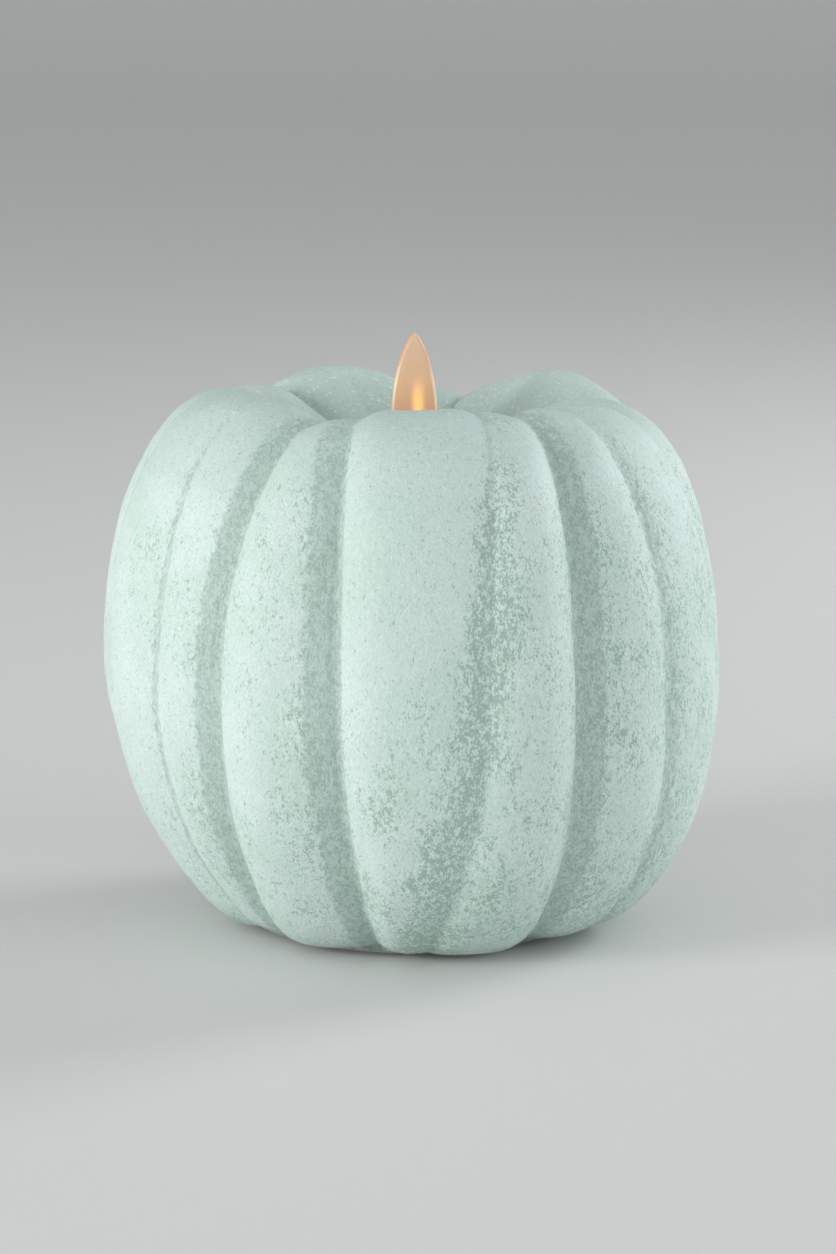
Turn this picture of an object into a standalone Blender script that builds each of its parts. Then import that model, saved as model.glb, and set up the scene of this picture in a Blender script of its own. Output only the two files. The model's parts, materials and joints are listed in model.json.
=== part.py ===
"""Flameless pumpkin candle: a hollow ribbed wax pumpkin round a battery candle module.

Metres, +Z up, origin on the table under the pumpkin's axis. The front faces -Y.
A steel wire runs front to back under the opening at the top and carries the flame
blade, whose lower end holds a magnet over a coil. Two cells stand in a battery
housing behind a door in the base plate, next to a slide switch.
"""

import math
from collections import namedtuple

import bmesh
import bpy
from mathutils import Matrix

# Wax body
GROUND_GAP = 0.0008  # from the table up to the lowest wax
RIB_RADIUS = 0.0721  # the plain outline that the ribs reach
CREST_RADIUS = 0.0402  # ring on which every rib is highest
BASE_RADIUS = 0.0393  # ring on which every rib is lowest
CREST_HEIGHT = 0.1240
WAIST_HEIGHT = 0.0567
UPPER_POWER = 2.18  # superellipse exponents of the side, above and below the waist
LOWER_POWER = 1.80
WAIST_LEAN = 0.0032  # the right side is widest lower than the left one
POWER_LEAN = 0.21  # and its lower half is fuller
WELL_DEPTH = 0.0160
MOUTH_RADIUS = 0.0114  # hole at the bottom of the well
WALL = 0.0050
CUSP = 1.15  # 1 gives a groove a sharp bottom and 2 a round one
COLUMNS = 72
SIDE_STEPS = 15
WELL_STEPS = 5

# Base plate and feet
PLATE_RADIUS = 0.0370
PLATE_BOTTOM = 0.0016
PLATE_TOP = 0.0041
FOOT_PLACES = ((0.020, 0.024), (-0.020, 0.024), (-0.020, -0.024), (0.020, -0.024))
FOOT_RADIUS = 0.0045
FOOT_HEIGHT = 0.0019
FIT_GAP = 0.0003  # clearance between pieces that touch
THROUGH_PLATE = 0.0060  # height of the cutters that pass right through the plate
COUNTERBORE_TOP = 0.0032
SCREW_HOLE_RADIUS = 0.0016

# Battery door, cells and housing
DOOR_HALF = (0.0157, 0.0078)
DOOR_THICKNESS = 0.0018
TAB_CENTRE = 0.0080
CELL_RADIUS = 0.0071
CELL_LENGTH = 0.0505
CELL_OFFSET = 0.0079
NUB_HEIGHT = 0.0012
NUB_RADIUS = 0.0027
CELL_A_BOTTOM = 0.0079  # negative end down, on the door's spring
CELL_B_BOTTOM = 0.0045  # positive nub down, on the door's strip
BAY_RADIUS = 0.0076
BAY_WALL = 0.0014
HOUSING_BOTTOM = PLATE_TOP + FIT_GAP
BAY_CEILING = 0.0596
SPRING_RADIUS = 0.0003
CONTACT_THICKNESS = 0.0004
TAIL_Y = 0.0050  # where both top contacts' tails pass through the deck
CONTACT_BOTTOM = 0.0588  # of the positive plate under the bay's ceiling
TAB_TOP = 0.0038  # top of the door's tabs and latch wall
DECK_BOTTOM = 0.0610
DECK_TOP = 0.0630
DECK_RADIUS = 0.0195
BOSS_TOP = 0.0110
BOSS_PLACES = ((0.022, 0.007), (-0.022, 0.007), (-0.022, -0.007), (0.022, -0.007))

# Flame module
BOARD_BOTTOM = 0.0644
BOARD_THICKNESS = 0.0016
BOARD_RADIUS = 0.0130
BOARD_TOP = BOARD_BOTTOM + BOARD_THICKNESS
PART_BOTTOM = BOARD_TOP + FIT_GAP  # underside of everything mounted on the board
BOARD_LEAD_TOP = BOARD_BOTTOM - FIT_GAP  # where leads and contacts end under the board
POST_OFFSET = 0.0095
CHAMBER_RADIUS = 0.0152
CHAMBER_WALL = 0.0016
CHAMBER_SCREW_Y = CHAMBER_RADIUS + 0.0020
JOIN_HEIGHT = 0.0800  # where the two chamber halves are screwed together
PIVOT_HEIGHT = 0.0975
FLAME_TIP = 0.1353
FLAME_HALF_WIDTH = 0.00525
FLAME_WIDEST_BELOW_TIP = 0.0200
FLAME_FULLNESS = 0.72  # 0.5 is a round tip, 1 a pointed one
FLAME_NECK_BELOW_TIP = 0.0350
STEM_HALF_WIDTH = 0.0025
BLADE_THICKNESS = 0.0016
MAGNET_RADIUS = 0.0030
MAGNET_BOTTOM = 0.0725
MAGNET_HEIGHT = 0.0026
CUP_WALL = 0.0009
COLLAR_RADIUS = 0.0107
COLLAR_WALL = 0.0014
COLLAR_TOP = 0.1073
COLLAR_FLOOR = 0.1032
FLANGE_RADIUS = 0.0135
FLANGE_BOTTOM = 0.1019
FLANGE_TOP = 0.1024
WIRE_RISE = 0.0009  # the pivot wire's ends lie this far above its middle
WIRE_RADIUS = 0.00025
SLOT_HALF = (0.0070, 0.0042)
LED_TILT = math.radians(20.0)
LED_BASE = (0.0102, 0.0855)  # distance from the axis, and height

# Slide switch
SWITCH_Y = 0.0240
SWITCH_TOP = 0.0092
SWITCH_SCREW_X = 0.0073
INSULATION_RADIUS = 0.0006
SWITCH_TRAVEL = 0.0040
KNOB_REST_X = -SWITCH_TRAVEL / 2
KNOB_BOTTOM = 0.0008

WAX = ("mint_wax", (0.50, 0.63, 0.58), 0.75, 0.0)
IVORY = ("ivory_plastic", (0.80, 0.76, 0.66), 0.45, 0.0)
BLACK = ("black_plastic", (0.03, 0.03, 0.03), 0.40, 0.0)
RUBBER = ("grey_rubber", (0.18, 0.18, 0.18), 0.90, 0.0)
STEEL = ("plated_steel", (0.72, 0.72, 0.73), 0.30, 1.0)
COPPER = ("copper_wire", (0.72, 0.33, 0.18), 0.35, 1.0)
MAGNET = ("nickel_magnet", (0.62, 0.61, 0.58), 0.25, 1.0)
FLAME = ("flame_plastic", (0.90, 0.55, 0.28), 0.35, 0.0)
LENS = ("amber_epoxy", (0.95, 0.62, 0.20), 0.15, 0.0)
BOARD = ("green_board", (0.05, 0.25, 0.12), 0.50, 0.0)
CELL = ("cell_jacket", (0.30, 0.33, 0.36), 0.35, 0.3)
RED = ("red_insulation", (0.60, 0.04, 0.03), 0.50, 0.0)
YELLOW = ("yellow_insulation", (0.75, 0.55, 0.05), 0.50, 0.0)

# A groove between two ribs: its azimuth in degrees from the front, turning towards +X,
# at the waist, at the crest and at the base, its depth, how wide it is on each side, and
# the share of the depth that is left at the crest, where a shallower groove is also wider.
Groove = namedtuple("Groove", "waist crest base depth before after at_crest")
GROOVES = (
    Groove(-56.5, -55.0, -60.0, 0.0024, 4.0, 4.0, 0.0),
    Groove(-40.0, -33.0, -45.5, 0.0060, 7.5, 3.5, 0.55),
    Groove(-14.0, -16.5, -11.0, 0.0056, 9.5, 3.0, 0.45),
    Groove(13.0, 18.5, 4.0, 0.0018, 4.0, 2.5, 0.9),
    Groove(32.0, 34.0, 34.0, 0.0063, 3.0, 8.5, 0.5),
    Groove(53.0, 50.0, 57.0, 0.0022, 3.0, 6.5, 0.7),
    Groove(84.0, 80.0, 86.0, 0.0045, 7.0, 6.0, 1.0),
    Groove(108.0, 106.0, 110.0, 0.0030, 6.0, 7.0, 1.0),
    Groove(139.0, 140.0, 138.0, 0.0008, 6.0, 6.0, 1.0),
    Groove(162.0, 163.0, 160.0, 0.0062, 8.0, 5.0, 1.0),
    Groove(181.0, 182.0, 180.0, 0.0026, 5.0, 6.0, 1.0),
    Groove(205.0, 206.0, 204.0, 0.0016, 6.0, 6.0, 1.0),
    Groove(229.0, 229.0, 228.0, 0.0058, 6.0, 8.0, 1.0),
    Groove(254.0, 254.0, 255.0, 0.0050, 6.0, 6.0, 1.0),
    Groove(279.0, 280.0, 277.0, 0.0018, 6.0, 6.0, 0.5),
)
# Ribs end lower or higher than the crest ring: azimuth, half width in degrees, and drop.
LOW_CRESTS = (
    (-29.0, 11.0, 0.0012),
    (2.0, 13.0, 0.0013),
    (26.0, 8.0, 0.0018),
    (98.0, 29.0, 0.0031),
    (127.0, 11.0, -0.0016),
    (149.0, 10.0, 0.0016),
    (175.0, 15.0, 0.0043),
    (206.0, 7.0, -0.0014),
)


def clear_scene():
    for thing in list(bpy.data.objects):
        bpy.data.objects.remove(thing)


def material_of(finish):
    name, colour, roughness, metallic = finish
    found = bpy.data.materials.get(name)
    if found:
        return found
    made = bpy.data.materials.new(name)
    made.use_nodes = True
    shader = made.node_tree.nodes["Principled BSDF"]
    shader.inputs["Base Color"].default_value = (*colour, 1.0)
    shader.inputs["Roughness"].default_value = roughness
    shader.inputs["Metallic"].default_value = metallic
    return made


def add_object(name, data, finish, location=(0, 0, 0), parent=None):
    made = bpy.data.objects.new(name, data)
    made.location = location
    made.parent = parent
    data.materials.append(material_of(finish))
    bpy.context.scene.collection.objects.link(made)
    return made


def add_pivot(name, location):
    """An empty on a joint's axis, to which the moving pieces are parented."""
    pivot = bpy.data.objects.new(name, None)
    pivot.location = location
    bpy.context.scene.collection.objects.link(pivot)
    return pivot


def mesh_of(name, points, faces, crease=35.0):
    """A closed mesh from points and faces, with doubled points welded and normals out."""
    mesh = bpy.data.meshes.new(name)
    work = bmesh.new()
    corners = [work.verts.new(point) for point in points]
    for face in faces:
        work.faces.new([corners[index] for index in face])
    bmesh.ops.remove_doubles(work, verts=work.verts, dist=1e-6)
    bmesh.ops.dissolve_degenerate(work, edges=work.edges, dist=1e-6)
    bmesh.ops.recalc_face_normals(work, faces=work.faces)
    work.to_mesh(mesh)
    work.free()
    mesh.shade_smooth()
    mesh.set_sharp_from_angle(angle=math.radians(crease))
    return mesh


def lathe(name, profile, steps=48, closed=False):
    """Turns (radius, height) points about Z. An open profile starts and ends on the axis."""
    count = len(profile)
    points = [
        (radius * math.cos(turn), radius * math.sin(turn), height)
        for turn in (math.tau * step / steps for step in range(steps))
        for radius, height in profile
    ]
    spans = count if closed else count - 1
    faces = [
        (
            step * count + row,
            step * count + (row + 1) % count,
            (step + 1) % steps * count + (row + 1) % count,
            (step + 1) % steps * count + row,
        )
        for step in range(steps)
        for row in range(spans)
    ]
    return mesh_of(name, points, faces)


def half_lathe(name, profile, side, gap, steps=14):
    """Half of a turned ring on one side of the plane x = 0, with flat faces at the split."""
    count = len(profile)
    points = []
    for step in range(steps + 1):
        turn = -math.pi / 2 + math.pi * step / steps
        across, along = math.cos(turn), math.sin(turn)
        for radius, height in profile:
            points.append((side * max(radius * across, gap), radius * along, height))
    faces = [
        (
            step * count + row,
            step * count + (row + 1) % count,
            (step + 1) * count + (row + 1) % count,
            (step + 1) * count + row,
        )
        for step in range(steps)
        for row in range(count)
    ]
    faces.append(tuple(range(count)))
    faces.append(tuple(range(steps * count, (steps + 1) * count)))
    return mesh_of(name, points, faces)


def prism(name, outline, low, high):
    """Extrudes an (x, y) outline from one height to another."""
    count = len(outline)
    points = [(x, y, z) for z in (low, high) for x, y in outline]
    faces = [
        (i, (i + 1) % count, (i + 1) % count + count, i + count) for i in range(count)
    ]
    faces.append(tuple(range(count)))
    faces.append(tuple(range(count, 2 * count)))
    return mesh_of(name, points, faces)


def circle(radius, centre=(0.0, 0.0), steps=24):
    turns = [math.tau * step / steps for step in range(steps)]
    return [
        (centre[0] + radius * math.cos(t), centre[1] + radius * math.sin(t))
        for t in turns
    ]


def rounded_box(half_x, half_y, corner, centre=(0.0, 0.0), steps=4):
    """A rectangle with round corners; a corner as large as half_y makes a stadium."""
    outline = []
    for quarter, (sx, sy) in enumerate(((1, 1), (-1, 1), (-1, -1), (1, -1))):
        for step in range(steps + 1):
            turn = math.pi / 2 * (quarter + step / steps)
            outline.append(
                (
                    centre[0] + sx * (half_x - corner) + corner * math.cos(turn),
                    centre[1] + sy * (half_y - corner) + corner * math.sin(turn),
                )
            )
    return outline


def cross(reach, half_width):
    """The outline of a cross recess, four arms long and narrow."""
    outline = []
    for quarter in range(4):
        c, s = round(math.cos(quarter * math.pi / 2)), round(math.sin(quarter * math.pi / 2))
        for x, y in ((half_width, -half_width), (reach, -half_width), (reach, half_width)):
            outline.append((c * x - s * y, s * x + c * y))
    return outline


def combine(target, name, mesh, operation):
    """Cuts a mesh from the target, or joins it on, with an exact Boolean."""
    tool = bpy.data.objects.new(name, mesh)
    tool.hide_render = True
    tool.display_type = "WIRE"
    tool.parent = target
    bpy.context.scene.collection.objects.link(tool)
    modifier = target.modifiers.new(name, "BOOLEAN")
    modifier.operation = operation
    modifier.solver = "EXACT"
    modifier.object = tool


def cut(target, name, mesh):
    combine(target, "cut_" + name, mesh, "DIFFERENCE")


def join(target, name, mesh):
    combine(target, "join_" + name, mesh, "UNION")


def add_tube(name, route, radius, finish, resolution=1, parent=None):
    """A round wire along a list of points, as a curve with a bevel and filled caps."""
    data = bpy.data.curves.new(name, "CURVE")
    data.dimensions = "3D"
    data.bevel_depth = radius
    data.bevel_resolution = resolution
    data.use_fill_caps = True
    spline = data.splines.new("POLY")
    spline.points.add(len(route) - 1)
    for point, place in zip(spline.points, route):
        point.co = (*place, 1.0)
    return add_object(name, data, finish, parent=parent)


def turn_and_move(mesh, axis, degrees, place=(0.0, 0.0, 0.0)):
    """Turns a mesh about an axis through the origin and then moves it."""
    mesh.transform(Matrix.Translation(place) @ Matrix.Rotation(math.radians(degrees), 4, axis))
    return mesh


def smooth_route(knots, spacing):
    """Points on one Catmull-Rom curve through the knots, a given distance apart."""
    ends = [knots[0]] + list(knots) + [knots[-1]]
    route = []
    for first, start, end, last in zip(ends, ends[1:], ends[2:], ends[3:]):
        steps = max(1, round(math.dist(start, end) / spacing))
        for step in range(steps):
            t = step / steps
            route.append(
                tuple(
                    0.5 * (2 * b + (c - a) * t + (2 * a - 5 * b + 4 * c - d) * t**2
                           + (3 * b - a - 3 * c + d) * t**3)
                    for a, b, c, d in zip(first, start, end, last)
                )
            )
    route.append(tuple(knots[-1]))
    return route


def smooth_step(t):
    t = min(1.0, max(0.0, t))
    return t * t * (3.0 - 2.0 * t)


# ---------------------------------------------------------------- wax body


def side_point(rise, azimuth):
    """The plain outline at rise, from -1 on the table through the waist to 1 at the crest."""
    angle = rise * math.pi / 2
    lean = math.sin(math.radians(azimuth))
    waist = WAIST_HEIGHT - WAIST_LEAN * lean
    power = 2.0 / (UPPER_POWER if rise > 0 else LOWER_POWER + POWER_LEAN * lean)
    height = CREST_HEIGHT - waist if rise > 0 else waist - GROUND_GAP
    inner = CREST_RADIUS if rise > 0 else BASE_RADIUS
    radius = inner + (RIB_RADIUS - inner) * max(math.cos(angle), 0.0) ** power
    return radius, waist + math.copysign(height * abs(math.sin(angle)) ** power, rise)


def well_point(inward):
    """The well at inward, from 0 on the crest to 1 at its mouth."""
    radius = CREST_RADIUS + (MOUTH_RADIUS - CREST_RADIUS) * inward
    return radius, CREST_HEIGHT - WELL_DEPTH * (1.0 - math.cos(math.pi * inward)) / 2


def outline_point(station, azimuth):
    """The whole plain outline: -1 to 1 up the side, then 1 to 2 down the well."""
    return side_point(station, azimuth) if station <= 1.0 else well_point(station - 1.0)


def outline_normal(station, azimuth):
    """Unit normal of the plain outline in the (radius, height) plane, pointing out."""
    step = 0.01
    low, high = max(station - step, -1.0), min(station + step, 2.0)
    (r0, z0), (r1, z1) = outline_point(low, azimuth), outline_point(high, azimuth)
    length = math.hypot(r1 - r0, z1 - z0)
    return (z1 - z0) / length, (r0 - r1) / length


def groove_depth(azimuth, station):
    """How far the wax lies inside the plain outline at an azimuth, in degrees."""
    up = smooth_step(station) if station > 0 else 0.0
    down = smooth_step(-station) if station < 0 else 0.0
    near_crest = smooth_step((station - 0.45) / 0.5)
    depth = 0.0
    for groove in GROOVES:
        centre = groove.waist * (1 - up - down) + groove.crest * up + groove.base * down
        off = (azimuth - centre + 180.0) % 360.0 - 180.0
        lost = near_crest * (1.0 - groove.at_crest)
        width = (groove.before if off < 0 else groove.after) * (1.0 + lost)
        valley = math.exp(-abs(off / width) ** (CUSP + lost))
        flank = math.exp(-((off / (2.4 * width)) ** 2))
        depth += groove.depth * (1.0 - lost) * (0.72 * valley + 0.28 * flank)
    fade = 1.0 - 0.55 * smooth_step((-station - 0.55) / 0.45)
    fade *= 1.0 - smooth_step(station - 1.0)
    for centre, half_width, drop in LOW_CRESTS:
        off = (azimuth - centre + 180.0) % 360.0 - 180.0
        near_top = math.exp(-(((station - 1.0) / 0.35) ** 2))
        depth += drop * math.exp(-((off / half_width) ** 2)) * near_top
    return depth * fade


def wax_ring(station, azimuth, inset, share):
    """A point of the wax at a station, inset from the plain outline by a wall thickness."""
    radius, height = outline_point(station, azimuth)
    out_r, out_z = outline_normal(station, azimuth)
    offset = inset + share * groove_depth(azimuth, station)
    return radius - out_r * offset, height - out_z * offset


def wax_section(azimuth):
    """The closed (radius, height) section of the hollow body at an azimuth."""
    rim = MOUTH_RADIUS
    _, floor = well_point(1.0)
    side = [-1.0 + 2.0 * step / SIDE_STEPS for step in range(SIDE_STEPS + 1)]
    well = [1.0 + step / WELL_STEPS for step in range(1, WELL_STEPS)] + [1.96]
    inner = [1.9, 1.6, 1.25, 0.95, 0.65, 0.3, -0.1, -0.45, -0.66]
    section = [wax_ring(station, azimuth, 0.0, 1.0) for station in side + well]
    section += [(rim, floor - 0.0006), (rim, floor - WALL + 0.0005)]
    section += [wax_ring(station, azimuth, WALL, 0.8) for station in inner]
    section += [
        (PLATE_RADIUS - 0.0040, PLATE_TOP + 0.0045),
        (PLATE_RADIUS - 0.0040, PLATE_TOP + FIT_GAP),
        (PLATE_RADIUS + FIT_GAP, PLATE_TOP + FIT_GAP),
        (PLATE_RADIUS + FIT_GAP, GROUND_GAP + 0.0006),
        (PLATE_RADIUS + 0.0010, GROUND_GAP + 0.0001),
    ]
    return section


def add_pumpkin_shell():
    azimuths = [360.0 * column / COLUMNS for column in range(COLUMNS)]
    sections = [wax_section(azimuth) for azimuth in azimuths]
    rows = len(sections[0])
    points = [
        (radius * math.sin(math.radians(azimuth)), -radius * math.cos(math.radians(azimuth)), height)
        for azimuth, section in zip(azimuths, sections)
        for radius, height in section
    ]
    faces = [
        (
            column * rows + row,
            column * rows + (row + 1) % rows,
            (column + 1) % COLUMNS * rows + (row + 1) % rows,
            (column + 1) % COLUMNS * rows + row,
        )
        for column in range(COLUMNS)
        for row in range(rows)
    ]
    add_object("pumpkin_shell", mesh_of("pumpkin_shell", points, faces, 60.0), WAX)


# ---------------------------------------------------------------- base


# A pan-head screw: the radius and height of its head, and the radius and length of its shank.
Screw = namedtuple("Screw", "head_radius head_height radius length")
BASE_SCREW = Screw(0.0026, 0.0012, 0.0013, 0.0066)
BOARD_SCREW = Screw(0.0017, 0.0009, 0.0008, 0.0036)
CHAMBER_SCREW = Screw(0.0018, 0.0010, 0.0008, 0.0090)
SWITCH_SCREW = Screw(0.0015, 0.0009, 0.0007, 0.0026)


def add_screw(name, size, location, up=True):
    """A screw with a cross recess; its head starts at the location and its shank points up, or down."""
    sign = 1 if up else -1
    profile = [
        (0.0, 0.0),
        (size.head_radius * 0.8, 0.0),
        (size.head_radius, size.head_height * 0.45),
        (size.head_radius, size.head_height),
        (size.radius, size.head_height),
        (size.radius, size.head_height + size.length * 0.85),
        (0.0, size.head_height + size.length),
    ]
    data = lathe(name, [(r, sign * z) for r, z in profile], steps=12)
    made = add_object(name, data, STEEL, location)
    low, high = sorted((-sign * 0.0005, sign * size.head_height * 0.5))
    recess = cross(size.head_radius * 0.55, size.head_radius * 0.14)
    cut(made, f"{name}_drive", prism("drive", recess, low, high))
    return made


def add_base_plate():
    bevel = 0.0005
    profile = [
        (0.0, PLATE_BOTTOM),
        (PLATE_RADIUS - bevel, PLATE_BOTTOM),
        (PLATE_RADIUS, PLATE_BOTTOM + bevel),
        (PLATE_RADIUS, PLATE_TOP),
        (0.0, PLATE_TOP),
    ]
    plate = add_object("base_plate", lathe("base_plate", profile, steps=48), IVORY)
    opening = rounded_box(DOOR_HALF[0] + FIT_GAP, DOOR_HALF[1] + FIT_GAP, 0.002)
    cut(plate, "door_opening", prism("door_opening", opening, 0.0, THROUGH_PLATE))
    slot = rounded_box(0.0037, 0.00145, 0.0004, (0.0, SWITCH_Y))
    cut(plate, "switch_slot", prism("switch_slot", slot, 0.0, THROUGH_PLATE))
    for index, place in enumerate(FOOT_PLACES, 1):
        recess = circle(FOOT_RADIUS + FIT_GAP, place, 20)
        cut(plate, f"foot_recess_{index}", prism("foot_recess", recess, 0.0, FOOT_HEIGHT + FIT_GAP))
    for index, place in enumerate(BOSS_PLACES, 1):
        head_room = circle(0.0030, place, 14)
        cut(plate, f"counterbore_{index}", prism("counterbore", head_room, 0.0, COUNTERBORE_TOP))
        hole = circle(SCREW_HOLE_RADIUS, place, 10)
        cut(plate, f"screw_hole_{index}", prism("screw_hole", hole, 0.0025, THROUGH_PLATE))
    for index, side in enumerate((-1, 1), 1):
        pilot = circle(0.0011, (side * SWITCH_SCREW_X, SWITCH_Y), 8)
        cut(plate, f"switch_pilot_{index}", prism("switch_pilot", pilot, 0.0024, THROUGH_PLATE))


def add_feet():
    edge = 0.0005
    profile = [
        (0.0, 0.0),
        (FOOT_RADIUS - edge, 0.0),
        (FOOT_RADIUS, edge),
        (FOOT_RADIUS, FOOT_HEIGHT),
        (0.0, FOOT_HEIGHT),
    ]
    shared = lathe("foot", profile, steps=20)
    for index, (x, y) in enumerate(FOOT_PLACES, 1):
        add_object(f"foot_{index}", shared.copy(), RUBBER, (x, y, 0.0))


def add_base_screws():
    for index, (x, y) in enumerate(BOSS_PLACES, 1):
        add_screw(f"base_screw_{index}", BASE_SCREW, (x, y, PLATE_BOTTOM + 0.0001))


# ---------------------------------------------------------------- battery door and bay


def add_battery_door():
    """The door rolls open on the lower edge of its opening, on the side with the two tabs."""
    hinge_y = -DOOR_HALF[1] - FIT_GAP
    hinge = add_pivot("door_hinge", (0.0, hinge_y, PLATE_BOTTOM))
    centre = (0.0, -hinge_y)
    panel = rounded_box(DOOR_HALF[0], DOOR_HALF[1], 0.0018, centre)
    door = add_object("battery_door", prism("battery_door", panel, 0.0, DOOR_THICKNESS), IVORY, parent=hinge)
    for index, side in enumerate((-1, 1), 1):
        x = side * TAB_CENTRE
        neck = rounded_box(0.0020, 0.0004, 0.0001, (x, 0.0007), steps=1)
        tongue = rounded_box(0.0020, 0.0015, 0.0004, (x, -0.0004), steps=2)
        join(door, f"tab_neck_{index}", prism("tab_neck", neck, DOOR_THICKNESS - 0.0006, TAB_TOP))
        join(door, f"tab_tongue_{index}", prism("tab_tongue", tongue, TAB_TOP - 0.0010, TAB_TOP))
    far_edge = 2 * DOOR_HALF[1]
    latch = rounded_box(0.0040, 0.0004, 0.0001, (0.0, far_edge - 0.0011), steps=1)
    join(door, "latch_wall", prism("latch_wall", latch, DOOR_THICKNESS - 0.0006, TAB_TOP))
    for index, side in enumerate((-1, 1), 1):
        relief = rounded_box(0.0004, 0.0035, 0.0001, (side * 0.0052, far_edge - 0.0020), steps=1)
        cut(door, f"latch_relief_{index}", prism("latch_relief", relief, -0.001, DOOR_THICKNESS + 0.001))
    for step in range(3):
        groove = rounded_box(0.0035, 0.00025, 0.0001, (0.0, far_edge - 0.0015 - 0.0012 * step), steps=1)
        cut(door, f"grip_{step + 1}", prism("grip", groove, -0.001, 0.0005))

    strip_bottom = DOOR_THICKNESS + FIT_GAP
    strip_outline = rounded_box(0.0110, 0.0040, 0.0010, centre)
    strip = prism("door_contact", strip_outline, strip_bottom, strip_bottom + CONTACT_THICKNESS)
    add_object("door_contact", strip, STEEL, parent=hinge)
    spring = conical_spring((-CELL_OFFSET, -hinge_y), strip_bottom + 0.0010, 0.0058, 0.0034, 0.0022, 3.0)
    add_tube("door_spring", spring, SPRING_RADIUS, STEEL, parent=hinge)


def conical_spring(place, low, high, first_radius, last_radius, turns, per_turn=10):
    """Points on the centre line of a coil that narrows from one radius to the other."""
    count = round(turns * per_turn)
    route = []
    for step in range(count + 1):
        share = step / count
        radius = first_radius + (last_radius - first_radius) * share
        turn = math.tau * turns * share
        route.append(
            (
                place[0] + radius * math.cos(turn),
                place[1] + radius * math.sin(turn),
                low + (high - low) * share,
            )
        )
    return route


def add_cells():
    """Two cylindrical cells side by side, one with its positive nub up and one down."""
    body_length = CELL_LENGTH - NUB_HEIGHT
    edge = 0.0007
    profile = [
        (0.0, 0.0),
        (CELL_RADIUS - edge, 0.0),
        (CELL_RADIUS, edge),
        (CELL_RADIUS, body_length - edge),
        (CELL_RADIUS - edge, body_length),
        (NUB_RADIUS, body_length),
        (NUB_RADIUS, CELL_LENGTH),
        (0.0, CELL_LENGTH),
    ]
    upright = lathe("cell", profile, steps=24)
    add_object("cell_a", upright, CELL, (-CELL_OFFSET, 0.0, CELL_A_BOTTOM))
    flipped = add_object("cell_b", upright.copy(), CELL, (CELL_OFFSET, 0.0, CELL_B_BOTTOM + CELL_LENGTH))
    flipped.rotation_euler = (math.pi, 0.0, 0.0)


def add_battery_housing():
    """A bay for both cells, with screw ears at the bottom and the board's deck on top."""
    outer = BAY_RADIUS + BAY_WALL
    outline = rounded_box(CELL_OFFSET + outer, outer, outer, steps=6)
    body = prism("battery_housing", outline, HOUSING_BOTTOM, DECK_TOP)
    housing = add_object("battery_housing", body, IVORY)
    deck = prism("deck", circle(DECK_RADIUS, steps=32), DECK_BOTTOM, DECK_TOP)
    join(housing, "deck", deck)
    for index, side in enumerate((-1, 1), 1):
        ear = rounded_box(0.0060, 0.0110, 0.0020, (side * 0.0205, 0.0))
        join(housing, f"ear_{index}", prism("ear", ear, HOUSING_BOTTOM, HOUSING_BOTTOM + 0.0020))
        post = circle(0.0018, (side * POST_OFFSET, 0.0), 10)
        join(housing, f"board_post_{index}", prism("board_post", post, DECK_TOP - 0.0010, BOARD_LEAD_TOP))
    for index, place in enumerate(BOSS_PLACES, 1):
        boss = circle(0.0029, place, 12)
        join(housing, f"boss_{index}", prism("boss", boss, HOUSING_BOTTOM + 0.0005, BOSS_TOP))
    bay = rounded_box(CELL_OFFSET + BAY_RADIUS, BAY_RADIUS, BAY_RADIUS, steps=6)
    cut(housing, "bay", prism("bay", bay, 0.0, BAY_CEILING))
    for index, place in enumerate(BOSS_PLACES, 1):
        hole = circle(SCREW_HOLE_RADIUS, place, 10)
        cut(housing, f"boss_hole_{index}", prism("boss_hole", hole, 0.0, BOSS_TOP - 0.0005))
    for index, side in enumerate((-1, 1), 1):
        notch = rounded_box(0.0026, 0.0020, 0.0003, (side * TAB_CENTRE, -BAY_RADIUS - 0.0012), steps=1)
        cut(housing, f"tab_notch_{index}", prism("tab_notch", notch, 0.003, 0.0068))
        hole = circle(0.0010, (side * POST_OFFSET, 0.0), 8)
        cut(housing, f"post_hole_{index}", prism("post_hole", hole, BAY_CEILING + 0.0015, 0.070))
        slit_outline = rounded_box(0.0014, 0.0010, 0.0003, (side * CELL_OFFSET, TAIL_Y), steps=1)
        slit = prism("contact_slit", slit_outline, BAY_CEILING - 0.0006, DECK_TOP + 0.001)
        cut(housing, f"contact_slit_{index}", slit)
    wire_hole = rounded_box(0.0040, 0.0012, 0.0008, (0.0, 0.0115), steps=2)
    cut(housing, "wire_hole", prism("wire_hole", wire_hole, DECK_BOTTOM - 0.001, DECK_TOP + 0.001))


def add_top_contacts():
    """The positive plate over cell A and the spring over cell B, with tails to the board."""
    contact_top = CONTACT_BOTTOM + CONTACT_THICKNESS
    outline = rounded_box(0.0045, 0.0058, 0.0008, (-CELL_OFFSET, 0.0))
    plate = prism("positive_contact", outline, CONTACT_BOTTOM, contact_top)
    contact = add_object("positive_contact", plate, STEEL)
    tail = rounded_box(0.0009, 0.00025, 0.0001, (-CELL_OFFSET, TAIL_Y), steps=1)
    join(contact, "tail", prism("tail", tail, contact_top - 0.0002, BOARD_LEAD_TOP))
    cell_top = CELL_B_BOTTOM + CELL_LENGTH
    coil = conical_spring((CELL_OFFSET, 0.0), cell_top + 0.0007, contact_top, 0.0024, TAIL_Y, 3.25)
    coil += [(CELL_OFFSET, TAIL_Y, height) for height in (0.0604, 0.0625, BOARD_LEAD_TOP)]
    add_tube("negative_spring", coil, SPRING_RADIUS, STEEL)


# ---------------------------------------------------------------- flame module


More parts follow.
